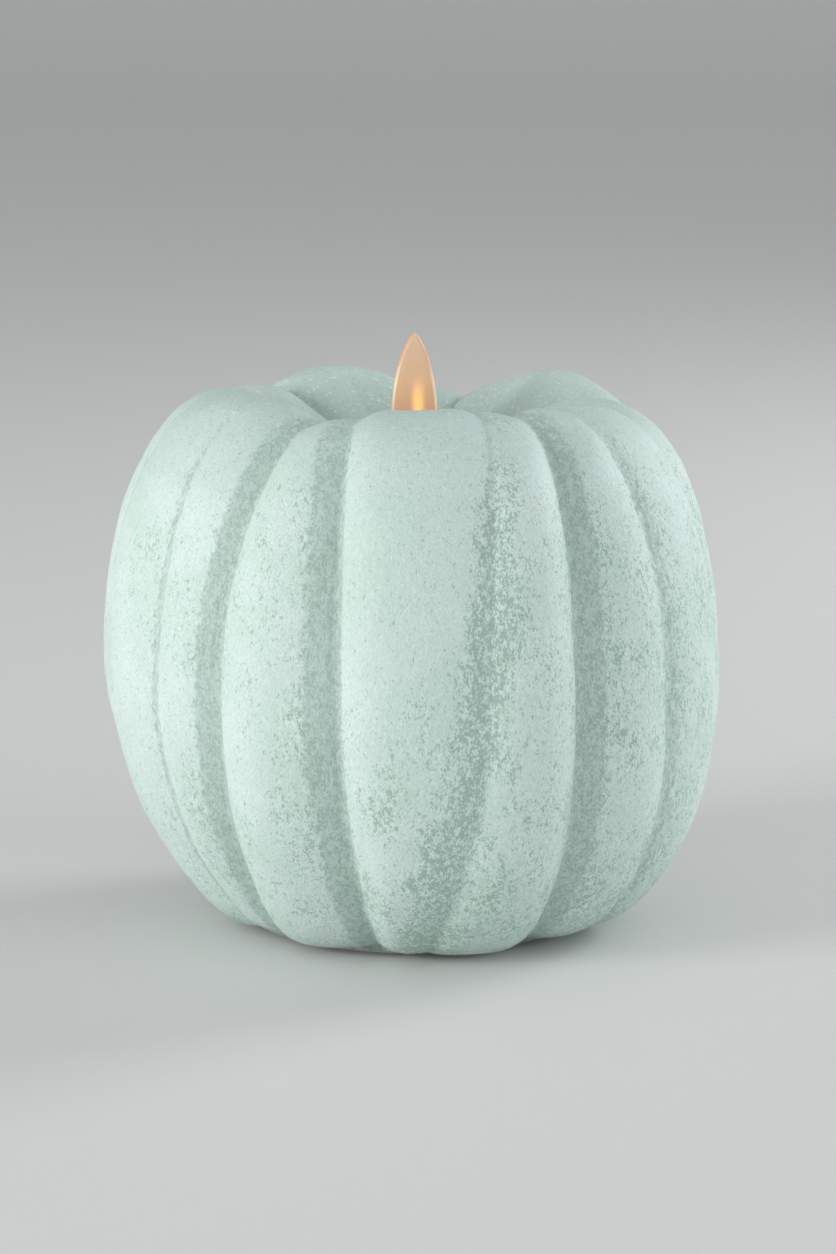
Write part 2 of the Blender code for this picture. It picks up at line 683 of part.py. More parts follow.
def add_circuit_board():
    disc = prism("circuit_board", circle(BOARD_RADIUS, steps=28), BOARD_BOTTOM, BOARD_TOP)
    board = add_object("circuit_board", disc, BOARD)
    for index, side in enumerate((-1, 1), 1):
        hole = circle(0.0011, (side * POST_OFFSET, 0.0), 8)
        cut(board, f"board_hole_{index}", prism("board_hole", hole, 0.060, 0.070))
        place = (side * POST_OFFSET, 0.0, BOARD_TOP + 0.0012)
        add_screw(f"board_screw_{index}", BOARD_SCREW, place, up=False)
    outline = rounded_box(0.0025, 0.0019, 0.0002, (-0.0060, 0.0075), steps=1)
    chip = prism("control_chip", outline, PART_BOTTOM, PART_BOTTOM + 0.0015)
    add_object("control_chip", chip, BLACK)
    can = [(0.0, 0.0), (0.0020, 0.0), (0.0020, 0.0052), (0.0016, 0.0056), (0.0, 0.0056)]
    add_object("capacitor", lathe("capacitor", can, steps=16), BLACK, (0.0065, 0.0075, PART_BOTTOM))
    end, body = 0.0007, 0.0009
    resistor = [(0.0, 0.0), (end, 0.0), (body, 0.0004), (body, 0.0028), (end, 0.0032), (0.0, 0.0032)]
    height = PART_BOTTOM + 0.0009
    laid = add_object("resistor", lathe("resistor", resistor, steps=12), RED, (0.0050, -0.0085, height))
    laid.rotation_euler = (0.0, math.pi / 2, 0.0)


def add_coil():
    """A flanged spool fixed on the board, and its winding between the flanges."""
    flange, core, bore = 0.0062, 0.0028, 0.0018
    spool = [
        (bore, 0.0),
        (flange, 0.0),
        (flange, 0.0008),
        (core, 0.0008),
        (core, 0.0042),
        (flange, 0.0042),
        (flange, 0.0050),
        (bore, 0.0050),
    ]
    place = (0.0, 0.0, PART_BOTTOM)
    add_object("coil_bobbin", lathe("coil_bobbin", spool, steps=18, closed=True), BLACK, place)
    inside, outside, edge = core + FIT_GAP, 0.0058, 0.0003
    turns = [
        (inside, 0.0011),
        (outside - edge, 0.0011),
        (outside, 0.0015),
        (outside, 0.0035),
        (outside - edge, 0.0039),
        (inside, 0.0039),
    ]
    add_object("coil_winding", lathe("coil_winding", turns, steps=18, closed=True), COPPER, place)


def add_leds():
    """Two lamps lean in from the front and the back and light both faces of the flame."""
    rim, radius, shoulder = 0.0029, 0.0025, 0.0061
    profile = [(0.0, 0.0), (rim, 0.0), (rim, 0.0010), (radius, 0.0010), (radius, shoulder)]
    profile += [(radius * math.cos(t), shoulder + radius * math.sin(t)) for t in (0.4, 0.8, 1.2)]
    profile.append((0.0, shoulder + radius))
    lamp = lathe("led", profile, steps=14)
    distance, height = LED_BASE
    for name, side in (("front", -1), ("rear", 1)):
        made = add_object(f"led_{name}", lamp.copy(), LENS, (0.0, side * distance, height))
        made.rotation_euler = (side * LED_TILT, 0.0, 0.0)
        for index, x in enumerate((-0.00127, 0.00127), 1):
            start = (x, side * (distance + 0.00025), height - 0.0007)
            bend = (x, side * (distance + 0.0010), height - 0.0035)
            end = (x, side * (distance - 0.0008), PART_BOTTOM)
            route = smooth_route((start, bend, (x, side * distance, height - 0.0090), end), 0.0025)
            add_tube(f"led_{name}_lead_{index}", route, WIRE_RADIUS, STEEL)


def add_chamber():
    """Two halves that clamp the deck at the bottom and the pivot wire's ends at the top."""
    inner = CHAMBER_RADIUS - CHAMBER_WALL
    lip, foot = 0.0174, 0.0213
    neck_inner, neck_outer = 0.0110, 0.0132
    deck_edge = DECK_RADIUS + FIT_GAP
    section = [
        (lip, 0.0586),
        (foot, 0.0586),
        (foot, 0.0650),
        (CHAMBER_RADIUS, 0.0670),
        (CHAMBER_RADIUS, 0.0962),
        (neck_outer, 0.0980),
        (neck_outer, FLANGE_BOTTOM - FIT_GAP),
        (neck_inner, FLANGE_BOTTOM - FIT_GAP),
        (neck_inner, 0.0976),
        (inner, 0.0955),
        (inner, DECK_TOP + 0.0004),
        (deck_edge, DECK_TOP + 0.0004),
        (deck_edge, DECK_BOTTOM - FIT_GAP),
        (lip, DECK_BOTTOM - FIT_GAP),
    ]
    for name, side in (("left", -1), ("right", 1)):
        half = add_object(f"chamber_{name}", half_lathe(f"chamber_{name}", section, side, FIT_GAP / 2), IVORY)
        for index, way in enumerate((-1, 1), 1):
            ear_half = (0.0030, 0.0028)
            middle = (side * (ear_half[0] + FIT_GAP / 2), way * (CHAMBER_RADIUS + 0.0018))
            ear = rounded_box(*ear_half, 0.0008, middle, steps=2)
            join(half, f"ear_{name}_{index}", prism("ear", ear, JOIN_HEIGHT - 0.003, JOIN_HEIGHT + 0.003))
            bore = prism("bore", circle(0.0011, steps=12), -0.010, 0.010)
            turn_and_move(bore, "Y", 90.0, (0.0, way * CHAMBER_SCREW_Y, JOIN_HEIGHT))
            cut(half, f"bore_{name}_{index}", bore)
            notch = prism("wire_notch", circle(0.0006, steps=12), -0.003, 0.003)
            turn_and_move(notch, "X", 90.0, (0.0, way * 0.0120, PIVOT_HEIGHT + WIRE_RISE))
            cut(half, f"wire_notch_{name}_{index}", notch)
    for index, way in enumerate((-1, 1), 1):
        place = (-0.0075, way * CHAMBER_SCREW_Y, JOIN_HEIGHT)
        made = add_screw(f"chamber_screw_{index}", CHAMBER_SCREW, place)
        made.rotation_euler = (0.0, math.pi / 2, 0.0)


def add_pivot_wire():
    """A shallow V of thin steel wire, front to back, that the flame hangs on."""
    end = PIVOT_HEIGHT + WIRE_RISE
    front = [(0.0, -0.0126, end), (0.0, -0.0112, end), (0.0, -0.0020, PIVOT_HEIGHT)]
    back = [(x, -y, z) for x, y, z in reversed(front)]
    add_tube("pivot_wire", front + back, WIRE_RADIUS, STEEL, resolution=2)


def flame_half_width(below_tip):
    """Half the blade's width at a distance below its tip."""
    if below_tip < FLAME_WIDEST_BELOW_TIP:
        return FLAME_HALF_WIDTH * (1.0 - (1.0 - below_tip / FLAME_WIDEST_BELOW_TIP) ** 2) ** FLAME_FULLNESS
    share = (below_tip - FLAME_WIDEST_BELOW_TIP) / (FLAME_NECK_BELOW_TIP - FLAME_WIDEST_BELOW_TIP)
    return FLAME_HALF_WIDTH + (STEM_HALF_WIDTH - FLAME_HALF_WIDTH) * smooth_step(share)


def add_flame():
    """The blade, flat front and back, with a cup for the magnet at the foot of its stem."""
    pivot = add_pivot("flame_pivot", (0.0, 0.0, PIVOT_HEIGHT))
    tip = FLAME_TIP - PIVOT_HEIGHT
    foot = MAGNET_BOTTOM + MAGNET_HEIGHT + 0.0008 - PIVOT_HEIGHT
    steps = 22
    depths = [FLAME_NECK_BELOW_TIP * (step / steps) ** 1.4 for step in range(1, steps + 1)]
    right = [(flame_half_width(depth), tip - depth) for depth in depths]
    outline = [(0.0, tip)] + right + [(STEM_HALF_WIDTH, foot), (-STEM_HALF_WIDTH, foot)]
    outline += [(-x, z) for x, z in reversed(right)]
    blade = prism("flame_blade", outline, -BLADE_THICKNESS / 2, BLADE_THICKNESS / 2)
    turn_and_move(blade, "X", 90.0)
    flame = add_object("flame_blade", blade, FLAME, parent=pivot)
    cup_bottom = MAGNET_BOTTOM + 0.0001 - PIVOT_HEIGHT
    pocket_top = MAGNET_BOTTOM + MAGNET_HEIGHT + FIT_GAP - PIVOT_HEIGHT
    cup = prism("magnet_cup", circle(MAGNET_RADIUS + CUP_WALL, steps=18), cup_bottom, pocket_top + CUP_WALL)
    join(flame, "magnet_cup", cup)
    pocket = prism("magnet_pocket", circle(MAGNET_RADIUS + FIT_GAP, steps=18), cup_bottom - 0.001, pocket_top)
    cut(flame, "magnet_pocket", pocket)
    eye = prism("pivot_eye", circle(0.0009, steps=16), -0.002, 0.002)
    turn_and_move(eye, "X", 90.0)
    cut(flame, "pivot_eye", eye)
    edge = 0.0002
    disc = [
        (0.0, 0.0),
        (MAGNET_RADIUS - edge, 0.0),
        (MAGNET_RADIUS, edge),
        (MAGNET_RADIUS, MAGNET_HEIGHT - edge),
        (MAGNET_RADIUS - edge, MAGNET_HEIGHT),
        (0.0, MAGNET_HEIGHT),
    ]
    magnet = lathe("flame_magnet", [(r, z + MAGNET_BOTTOM - PIVOT_HEIGHT) for r, z in disc], steps=18)
    add_object("flame_magnet", magnet, MAGNET, parent=pivot)


def add_collar():
    """The ring in the mouth of the well, with a sloping floor and a slot for the flame."""
    inside = COLLAR_RADIUS - COLLAR_WALL
    skirt = PIVOT_HEIGHT + 0.0022
    edge = 0.0004
    profile = [
        (0.0, COLLAR_FLOOR),
        (inside, COLLAR_FLOOR),
        (inside, skirt),
        (COLLAR_RADIUS, skirt),
        (COLLAR_RADIUS, FLANGE_BOTTOM),
        (FLANGE_RADIUS, FLANGE_BOTTOM),
        (FLANGE_RADIUS, FLANGE_TOP),
        (COLLAR_RADIUS, FLANGE_TOP),
        (COLLAR_RADIUS, COLLAR_TOP - edge),
        (COLLAR_RADIUS - edge, COLLAR_TOP),
        (inside + edge, COLLAR_TOP),
        (inside, COLLAR_TOP - edge),
        (inside, COLLAR_FLOOR + 0.0020),
        (0.0, COLLAR_FLOOR + 0.0012),
    ]
    collar = add_object("flame_collar", lathe("flame_collar", profile, steps=28), IVORY)
    slot = rounded_box(*SLOT_HALF, SLOT_HALF[1], steps=5)
    cut(collar, "flame_slot", prism("flame_slot", slot, COLLAR_FLOOR - 0.002, COLLAR_FLOOR + 0.004))


# ---------------------------------------------------------------- switch and wires


def add_switch():
    low = PLATE_TOP + FIT_GAP
    middle = (0.0, SWITCH_Y)
    can = rounded_box(0.0055, 0.0030, 0.0003, middle, steps=1)
    body = add_object("switch_body", prism("switch_body", can, low, SWITCH_TOP), STEEL)
    ears = rounded_box(0.0092, 0.0024, 0.0008, middle, steps=2)
    join(body, "switch_ears", prism("switch_ears", ears, low, low + 0.0006))
    cavity = rounded_box(0.0044, 0.0019, 0.0002, middle, steps=1)
    cut(body, "switch_cavity", prism("switch_cavity", cavity, 0.0, SWITCH_TOP - 0.0020))
    for index, side in enumerate((-1, 1), 1):
        x = side * SWITCH_SCREW_X
        cut(body, f"ear_hole_{index}", prism("ear_hole", circle(0.0010, (x, SWITCH_Y), 12), 0.0, 0.008))
        add_screw(f"switch_screw_{index}", SWITCH_SCREW, (x, SWITCH_Y, low + 0.0018), up=False)

    slide = add_pivot("switch_travel", (KNOB_REST_X, SWITCH_Y, PLATE_TOP))
    knob_low, knob_high = KNOB_BOTTOM - PLATE_TOP, 0.0026
    knob = prism("switch_knob", rounded_box(0.0014, 0.00115, 0.0003, steps=2), knob_low, knob_high)
    lever = add_object("switch_knob", knob, BLACK, parent=slide)
    flange = rounded_box(0.0021, 0.0016, 0.0002, steps=1)
    join(lever, "knob_flange", prism("knob_flange", flange, 0.0006, 0.0024))


def add_wires():
    """Three insulated leads from the switch, up behind the battery bay, to the board."""
    leads = (("wire_black", -0.0025, BLACK), ("wire_red", 0.0, RED), ("wire_yellow", 0.0025, YELLOW))
    for name, x, finish in leads:
        knots = (
            (x, SWITCH_Y, SWITCH_TOP + FIT_GAP),
            (x, SWITCH_Y, 0.0130),
            (x * 1.3, 0.0215, 0.0200),
            (x * 1.1, 0.0150, 0.0310),
            (x, 0.0116, 0.0430),
            (x, 0.0113, 0.0550),
            (x, 0.0115, 0.0610),
            (x, 0.0115, BOARD_LEAD_TOP),
        )
        add_tube(name, smooth_route(knots, 0.0034), INSULATION_RADIUS, finish, resolution=2)


def main():
    clear_scene()
    add_pumpkin_shell()
    add_base_plate()
    add_feet()
    add_base_screws()
    add_battery_door()
    add_cells()
    add_battery_housing()
    add_top_contacts()
    add_circuit_board()
    add_coil()
    add_leds()
    add_chamber()
    add_pivot_wire()
    add_flame()
    add_collar()
    add_switch()
    add_wires()


main()
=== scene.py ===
"""Looks of the flameless pumpkin candle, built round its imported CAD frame.

The wax body is rebuilt from the same outline and grooves as the CAD, on a finer grid
and with the unevenness of poured wax. The flame, the collar, the base plate, its screws,
its feet and the battery door are rebuilt with rounded edges. Every other piece keeps its
CAD shape and gets a material. Lengths are metres; azimuths are degrees from the front,
turning towards +X.
"""

import json
import math
from collections import namedtuple

import bmesh
import bpy
import numpy as np
from mathutils import Matrix, Vector, noise

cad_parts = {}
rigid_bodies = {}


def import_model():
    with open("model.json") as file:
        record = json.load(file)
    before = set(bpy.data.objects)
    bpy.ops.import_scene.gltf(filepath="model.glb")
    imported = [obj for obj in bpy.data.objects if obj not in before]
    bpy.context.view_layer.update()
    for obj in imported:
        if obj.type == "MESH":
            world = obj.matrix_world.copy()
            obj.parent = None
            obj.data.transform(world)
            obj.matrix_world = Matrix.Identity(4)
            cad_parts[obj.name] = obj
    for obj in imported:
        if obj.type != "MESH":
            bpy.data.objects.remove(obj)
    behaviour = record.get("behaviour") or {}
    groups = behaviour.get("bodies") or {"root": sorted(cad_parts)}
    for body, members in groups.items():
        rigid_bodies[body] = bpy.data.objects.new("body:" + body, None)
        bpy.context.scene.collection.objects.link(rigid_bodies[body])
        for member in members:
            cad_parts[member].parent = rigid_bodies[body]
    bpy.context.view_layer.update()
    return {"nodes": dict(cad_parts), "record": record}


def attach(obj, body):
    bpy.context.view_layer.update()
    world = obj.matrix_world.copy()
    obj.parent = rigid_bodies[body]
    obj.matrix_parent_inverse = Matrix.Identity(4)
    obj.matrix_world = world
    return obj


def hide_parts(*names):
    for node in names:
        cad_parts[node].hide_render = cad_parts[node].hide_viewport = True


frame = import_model()

MM = 0.001
FIT_GAP = 0.0003  # clearance between pieces that fit together
SOFT_EDGE = 0.12 * MM  # bevel of moulded edges
SHARP_ANGLE = math.radians(40.0)  # edges that turn more than this are edges, not curves

# Wax body, as in the CAD
GROUND_GAP = 0.0008
RIB_RADIUS = 0.0721
CREST_RADIUS = 0.0402  # ring on which every rib is highest
BASE_RADIUS = 0.0393  # ring on which every rib is lowest
CREST_HEIGHT = 0.1240
WAIST_HEIGHT = 0.0567
UPPER_POWER = 2.18  # superellipse exponents of the side, above and below the waist
LOWER_POWER = 1.80
WAIST_LEAN = 0.0032  # the right side is widest lower than the left one
POWER_LEAN = 0.21  # and its lower half is fuller
WELL_DEPTH = 0.0160
MOUTH_RADIUS = 0.0114  # hole at the bottom of the well
WALL = 0.0050
CUSP = 1.15  # 1 gives a groove a sharp bottom and 2 a round one
VALLEY_SHARE, SLOPE_SHARE = 0.72, 0.28  # of a groove's depth, in its line and in its slopes
SLOPE_WIDTH = 2.4  # of the slopes, as a multiple of the groove's width
INNER_GROOVES = 0.8  # share of the grooves' depth on the inner surface

# Grid of the wax
COLUMNS = 440
SIDE_ROWS = 150
WELL_ROWS = 36
WELL_REACH = 0.96  # the share of the way from crest to mouth that has the well's form
INNER_ROWS = 22
INNER_STATIONS = (1.90, -0.66)  # where the inner surface starts and ends

# Unevenness of poured wax: height, cells per metre and seed of the lumps, dents and pits
RELIEF = ((0.42 * MM, 48.0, 3.1), (0.21 * MM, 150.0, 11.7), (0.05 * MM, 430.0, 27.9))

# Where the bloom is rubbed off along a groove. The widths of the bare band on its gentle
# side and of its worn flanks are multiples of the groove's width.
BAND_WIDTH = 0.66
FLANK_WIDTH = 1.15
STEEP_LINE = 0.8  # degrees, half width of the bare line on the steep side
DEEP_GROOVE = 0.0050  # a groove of this depth or more is worn in full

# A groove between two ribs: its azimuth at the waist, at the crest and at the base, its
# depth, how many degrees wide it is on each side, and the share of the depth that is left
# at the crest, where a shallower groove is also wider.
Groove = namedtuple("Groove", "waist crest base depth before after at_crest")
GROOVES = (
    Groove(-56.5, -55.0, -60.0, 0.0024, 4.0, 4.0, 0.0),
    Groove(-40.0, -33.0, -45.5, 0.0060, 7.5, 3.5, 0.55),
    Groove(-14.0, -16.5, -11.0, 0.0056, 9.5, 3.0, 0.45),
    Groove(13.0, 18.5, 4.0, 0.0018, 4.0, 2.5, 0.9),
    Groove(32.0, 34.0, 34.0, 0.0063, 3.0, 8.5, 0.5),
    Groove(53.0, 50.0, 57.0, 0.0022, 3.0, 6.5, 0.7),
    Groove(84.0, 80.0, 86.0, 0.0045, 7.0, 6.0, 1.0),
    Groove(108.0, 106.0, 110.0, 0.0030, 6.0, 7.0, 1.0),
    Groove(139.0, 140.0, 138.0, 0.0008, 6.0, 6.0, 1.0),
    Groove(162.0, 163.0, 160.0, 0.0062, 8.0, 5.0, 1.0),
    Groove(181.0, 182.0, 180.0, 0.0026, 5.0, 6.0, 1.0),
    Groove(205.0, 206.0, 204.0, 0.0016, 6.0, 6.0, 1.0),
    Groove(229.0, 229.0, 228.0, 0.0058, 6.0, 8.0, 1.0),
    Groove(254.0, 254.0, 255.0, 0.0050, 6.0, 6.0, 1.0),
    Groove(279.0, 280.0, 277.0, 0.0018, 6.0, 6.0, 0.5),
)
# Ribs end lower or higher than the crest ring: azimuth, half width in degrees, and drop.
LOW_CRESTS = (
    (-29.0, 11.0, 0.0012),
    (2.0, 13.0, 0.0013),
    (26.0, 8.0, 0.0018),
    (98.0, 29.0, 0.0031),
    (127.0, 11.0, -0.0016),
    (149.0, 10.0, 0.0016),
    (175.0, 15.0, 0.0043),
    (206.0, 7.0, -0.0014),
)

# Colours of the wax and its bloom
BLUE_BLOOM = (0.605, 0.702, 0.682)
GREEN_BLOOM = (0.515, 0.652, 0.598)
THIN_BLOOM = (0.480, 0.605, 0.560)
GRAINY_BLOOM = (0.400, 0.530, 0.480)
# painted shade: a darker grey laid on the calm tops and the upper front rib
SHADED_CALM_BLOOM = (0.450, 0.570, 0.528)
# worn bloom, also laid on as painted shade towards the right side and low down
WORN_AND_SHADED_BLOOM = (0.400, 0.540, 0.482)
SPECK = (0.268, 0.392, 0.345)
FLAKE = (0.700, 0.830, 0.780)
BARE_WAX = (0.300, 0.415, 0.370)
RUBBED_WAX = (0.430, 0.548, 0.502)
# painted shade inside the well
PAINTED_WELL_SHADE = (0.300, 0.420, 0.370)
WHITE_FLECK = (0.860, 0.930, 0.905)

# Flame blade, as in the CAD
PIVOT_HEIGHT = 0.0975
FLAME_TIP = 0.1353
FLAME_HALF_WIDTH = 0.00525
FLAME_WIDEST_BELOW_TIP = 0.0200
FLAME_FULLNESS = 0.72  # 0.5 is a round tip, 1 a pointed one
FLAME_NECK_BELOW_TIP = 0.0350
STEM_HALF_WIDTH = 0.0025
BLADE_THICKNESS = 0.0016
MAGNET_RADIUS = 0.0030
MAGNET_BOTTOM = 0.0725
MAGNET_HEIGHT = 0.0026
CUP_WALL = 0.0009
EYE_RADIUS = 0.0009
LEAF_ROWS = 80
STEM_ROWS = 16
ROW_CROWDING = 1.6  # above 1, rows lie closer together near the tip

# Colours of the flame
LOW_AMBER = (0.640, 0.375, 0.215)
HIGH_AMBER = (0.575, 0.400, 0.268)
# painted glow of the LED's light in the streak
LIT_AMBER = (0.900, 0.500, 0.170)
DARK_RIM = (0.560, 0.250, 0.090)
# painted highlight on the lower rim of the blade
PAINTED_RIM_HIGHLIGHT = (0.780, 0.640, 0.480)
STREAK_X = 0.8 * MM  # the lit streak stands a little to the right of the middle

# Collar, base plate, battery door and feet, as in the CAD
COLLAR_RADIUS = 0.0107
COLLAR_WALL = 0.0014
COLLAR_TOP = 0.1073
COLLAR_FLOOR = 0.1032
FLANGE_RADIUS = 0.0135
FLANGE_BOTTOM = 0.1019
FLANGE_TOP = 0.1024
SLOT_HALF = (0.0070, 0.0042)
PLATE_RADIUS = 0.0370
PLATE_BOTTOM = 0.0016
PLATE_TOP = 0.0041
THROUGH_PLATE = 0.0060  # height of the cutters that pass right through the plate
COUNTERBORE_RADIUS = 0.0030
COUNTERBORE_TOP = 0.0032
SCREW_HOLE_RADIUS = 0.0016
PILOT_RADIUS = 0.0011
FOOT_PLACES = ((0.020, 0.024), (-0.020, 0.024), (-0.020, -0.024), (0.020, -0.024))
FOOT_RADIUS = 0.0045
FOOT_HEIGHT = 0.0019
FOOT_ROUNDING = 0.0009
BOSS_PLACES = ((0.022, 0.007), (-0.022, 0.007), (-0.022, -0.007), (0.022, -0.007))
SWITCH_Y = 0.0240
SWITCH_SCREW_X = 0.0073
DOOR_HALF = (0.0157, 0.0078)
DOOR_THICKNESS = 0.0018
TAB_CENTRE = 0.0080
TAB_TOP = 0.0038
HINGE_Y = -DOOR_HALF[1] - FIT_GAP

# Stage
FLOOR_DROP = 0.05 * MM  # keeps the floor's face clear of the feet's
WORLD_LOW, WORLD_HIGH = 0.80, 0.42  # strength of the sky near the horizon and overhead
LIGHT_TARGET = (0.0, 0.0, 0.06)
LIGHTS = (  # name, place, size, power in watts and colour
    ("key", (-1.30, -0.70, 0.38), 0.60, 16.4, (1.0, 0.99, 0.97)),
    ("front", (1.35, -0.75, 0.30), 0.90, 8.1, (1.0, 1.0, 0.99)),
    ("rim", (1.00, 0.60, 0.60), 0.45, 7.0, (0.97, 0.99, 1.0)),
)
CAMERA_TARGET = (0.0008, 0.0, 0.0677)
CAMERA_DISTANCE = 0.90
CAMERA_ELEVATION = math.radians(10.3)
CAMERA_LENS = 113.0
CAMERA_SENSOR = 36.0


# ---------------------------------------------------------------- mesh helpers


def add_piece(name, mesh, material, body, replaced):
    """Links a mesh as a piece of the object: its body and the CAD node it stands for."""
    piece = bpy.data.objects.new(name, mesh)
    bpy.context.scene.collection.objects.link(piece)
    mesh.materials.append(material)
    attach(piece, body)
    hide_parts(replaced)


def grid_mesh(name, points, attributes):
    """A closed mesh from a (columns, rows, 3) grid that wraps both ways."""
    columns, rows, _ = points.shape
    index = np.arange(columns * rows).reshape(columns, rows)
    right = np.roll(index, -1, axis=0)
    corners = [index, right, np.roll(right, -1, axis=1), np.roll(index, -1, axis=1)]
    faces = np.stack(corners, axis=-1)
    mesh = bpy.data.meshes.new(name)
    mesh.from_pydata(points.reshape(-1, 3).tolist(), [], faces.reshape(-1, 4).tolist())
    for label, values in attributes.items():
        layer = mesh.attributes.new(label, "FLOAT", "POINT")
        layer.data.foreach_set("value", values.reshape(-1).astype(np.float32))
    mesh.shade_smooth()
    return mesh


def mesh_from(name, points, faces):
    """A mesh with doubled points welded and normals pointing out."""
    mesh = bpy.data.meshes.new(name)
    work = bmesh.new()
    corners = [work.verts.new(point) for point in points]
    for face in faces:
        work.faces.new([corners[index] for index in face])
    bmesh.ops.remove_doubles(work, verts=work.verts, dist=1e-6)
    bmesh.ops.dissolve_degenerate(work, edges=work.edges, dist=1e-6)
    bmesh.ops.recalc_face_normals(work, faces=work.faces)
    work.to_mesh(mesh)
    work.free()
    return mesh


def turned(name, profile, steps=96, centre=(0.0, 0.0)):
    """Turns a (radius, height) profile that starts and ends on the axis."""
    count = len(profile)
    points = []
    for step in range(steps):
        turn = math.tau * step / steps
        c, s = math.cos(turn), math.sin(turn)
        points += [(centre[0] + radius * c, centre[1] + radius * s, height) for radius, height in profile]
    faces = []
    for step in range(steps):
        first, second = step * count, (step + 1) % steps * count
        for row in range(count - 1):
            faces.append((first + row, first + row + 1, second + row + 1, second + row))
    return mesh_from(name, points, faces)


def extruded(name, outline, low, high):
    """A prism that stands on an (x, y) outline."""
    count = len(outline)
    points = [(x, y, z) for z in (low, high) for x, y in outline]
    faces = [(i, (i + 1) % count, (i + 1) % count + count, i + count) for i in range(count)]
    faces += [tuple(range(count)), tuple(range(count, 2 * count))]
    return mesh_from(name, points, faces)


def circle(radius, centre=(0.0, 0.0), steps=48):
    turns = [math.tau * step / steps for step in range(steps)]
    return [(centre[0] + radius * math.cos(t), centre[1] + radius * math.sin(t)) for t in turns]


def rounded_box(half_x, half_y, corner, centre=(0.0, 0.0), steps=8):
    outline = []
    for quarter, (side_x, side_y) in enumerate(((1, 1), (-1, 1), (-1, -1), (1, -1))):
        for step in range(steps + 1):
            turn = math.pi / 2 * (quarter + step / steps)
            x = centre[0] + side_x * (half_x - corner) + corner * math.cos(turn)
            y = centre[1] + side_y * (half_y - corner) + corner * math.sin(turn)
            outline.append((x, y))
    return outline


def cross(reach, half_width, centre):
    """The outline of a cross recess."""
    outline = []
    for quarter in range(4):
        c, s = round(math.cos(quarter * math.pi / 2)), round(math.sin(quarter * math.pi / 2))
        for x, y in ((half_width, -half_width), (reach, -half_width), (reach, half_width)):
            outline.append((centre[0] + c * x - s * y, centre[1] + s * x + c * y))
    return outline


def shaped(mesh, joined=(), cut=(), bevel=0.0):
    """The mesh with other shapes joined on, others cut away, and its edges rounded."""
    scene = bpy.context.scene.collection.objects
    target = bpy.data.objects.new("shaping", mesh)
    scene.link(target)
    helpers = [target]
    for operation, tools in (("UNION", joined), ("DIFFERENCE", cut)):
        for tool_mesh in tools:
            tool = bpy.data.objects.new("tool", tool_mesh)
            scene.link(tool)
            helpers.append(tool)
            modifier = target.modifiers.new(operation, "BOOLEAN")
            modifier.operation = operation
            modifier.solver = "EXACT"
            modifier.object = tool
    if bevel:
        edges = target.modifiers.new("edges", "BEVEL")
        edges.width = bevel
        edges.segments = 2
        edges.limit_method = "ANGLE"
        edges.angle_limit = SHARP_ANGLE
    evaluated = target.evaluated_get(bpy.context.evaluated_depsgraph_get())
    result = bpy.data.meshes.new_from_object(evaluated)
    for helper in helpers:
        bpy.data.objects.remove(helper)
    result.name = mesh.name
    soften(result)
    return result


def soften(mesh):
    """Shades curves smooth and keeps sharp edges sharp."""
    mesh.shade_smooth()
    mesh.set_sharp_from_angle(angle=SHARP_ANGLE)


def noise_field(points, scale, seed):
    """Perlin noise, about -1 to 1, at each point of a grid."""
    flat = points.reshape(-1, 3) * scale + seed
    values = [noise.noise(point) for point in flat.tolist()]
    return np.array(values).reshape(points.shape[:-1])


# ---------------------------------------------------------------- wax body
#
# A place on the wax has a station: -1 on the table, 0 at the waist, 1 at the crest and 2 at
# the mouth of the well.


def smooth_step(t):
    t = np.clip(t, 0.0, 1.0)
    return t * t * (3.0 - 2.0 * t)


def bell(t, power=2):
    """1 at 0, falling away on both sides; a higher power gives it a flatter top."""
    return np.exp(-(t**power))


def wrapped(degrees):
    return (degrees + 180.0) % 360.0 - 180.0


def side_point(rise, azimuth):
    """The plain outline at rise, from -1 on the table through the waist to 1 at the crest."""
    angle = rise * math.pi / 2
    lean = np.sin(np.radians(azimuth))
    waist = WAIST_HEIGHT - WAIST_LEAN * lean
    upper = rise > 0
    power = 2.0 / np.where(upper, UPPER_POWER, LOWER_POWER + POWER_LEAN * lean)
    height = np.where(upper, CREST_HEIGHT - waist, waist - GROUND_GAP)
    inner = np.where(upper, CREST_RADIUS, BASE_RADIUS)
    radius = inner + (RIB_RADIUS - inner) * np.maximum(np.cos(angle), 0.0) ** power
    return radius, waist + np.sign(rise) * height * np.abs(np.sin(angle)) ** power


def well_point(inward):
    """The well at inward, from 0 on the crest to 1 at its mouth."""
    radius = CREST_RADIUS + (MOUTH_RADIUS - CREST_RADIUS) * inward
    return radius, CREST_HEIGHT - WELL_DEPTH * (1.0 - np.cos(math.pi * inward)) / 2


def outline_point(station, azimuth):
    side_r, side_z = side_point(np.minimum(station, 1.0), azimuth)
    well_r, well_z = well_point(np.maximum(station - 1.0, 0.0))
    on_side = station <= 1.0
    return np.where(on_side, side_r, well_r), np.where(on_side, side_z, well_z)


def outline_normal(station, azimuth):
    """Unit normal of the plain outline in the (radius, height) plane, pointing out."""
    step = 0.01
    r0, z0 = outline_point(np.maximum(station - step, -1.0), azimuth)
    r1, z1 = outline_point(np.minimum(station + step, 2.0), azimuth)
    length = np.hypot(r1 - r0, z1 - z0)
    return (z1 - z0) / length, (r0 - r1) / length


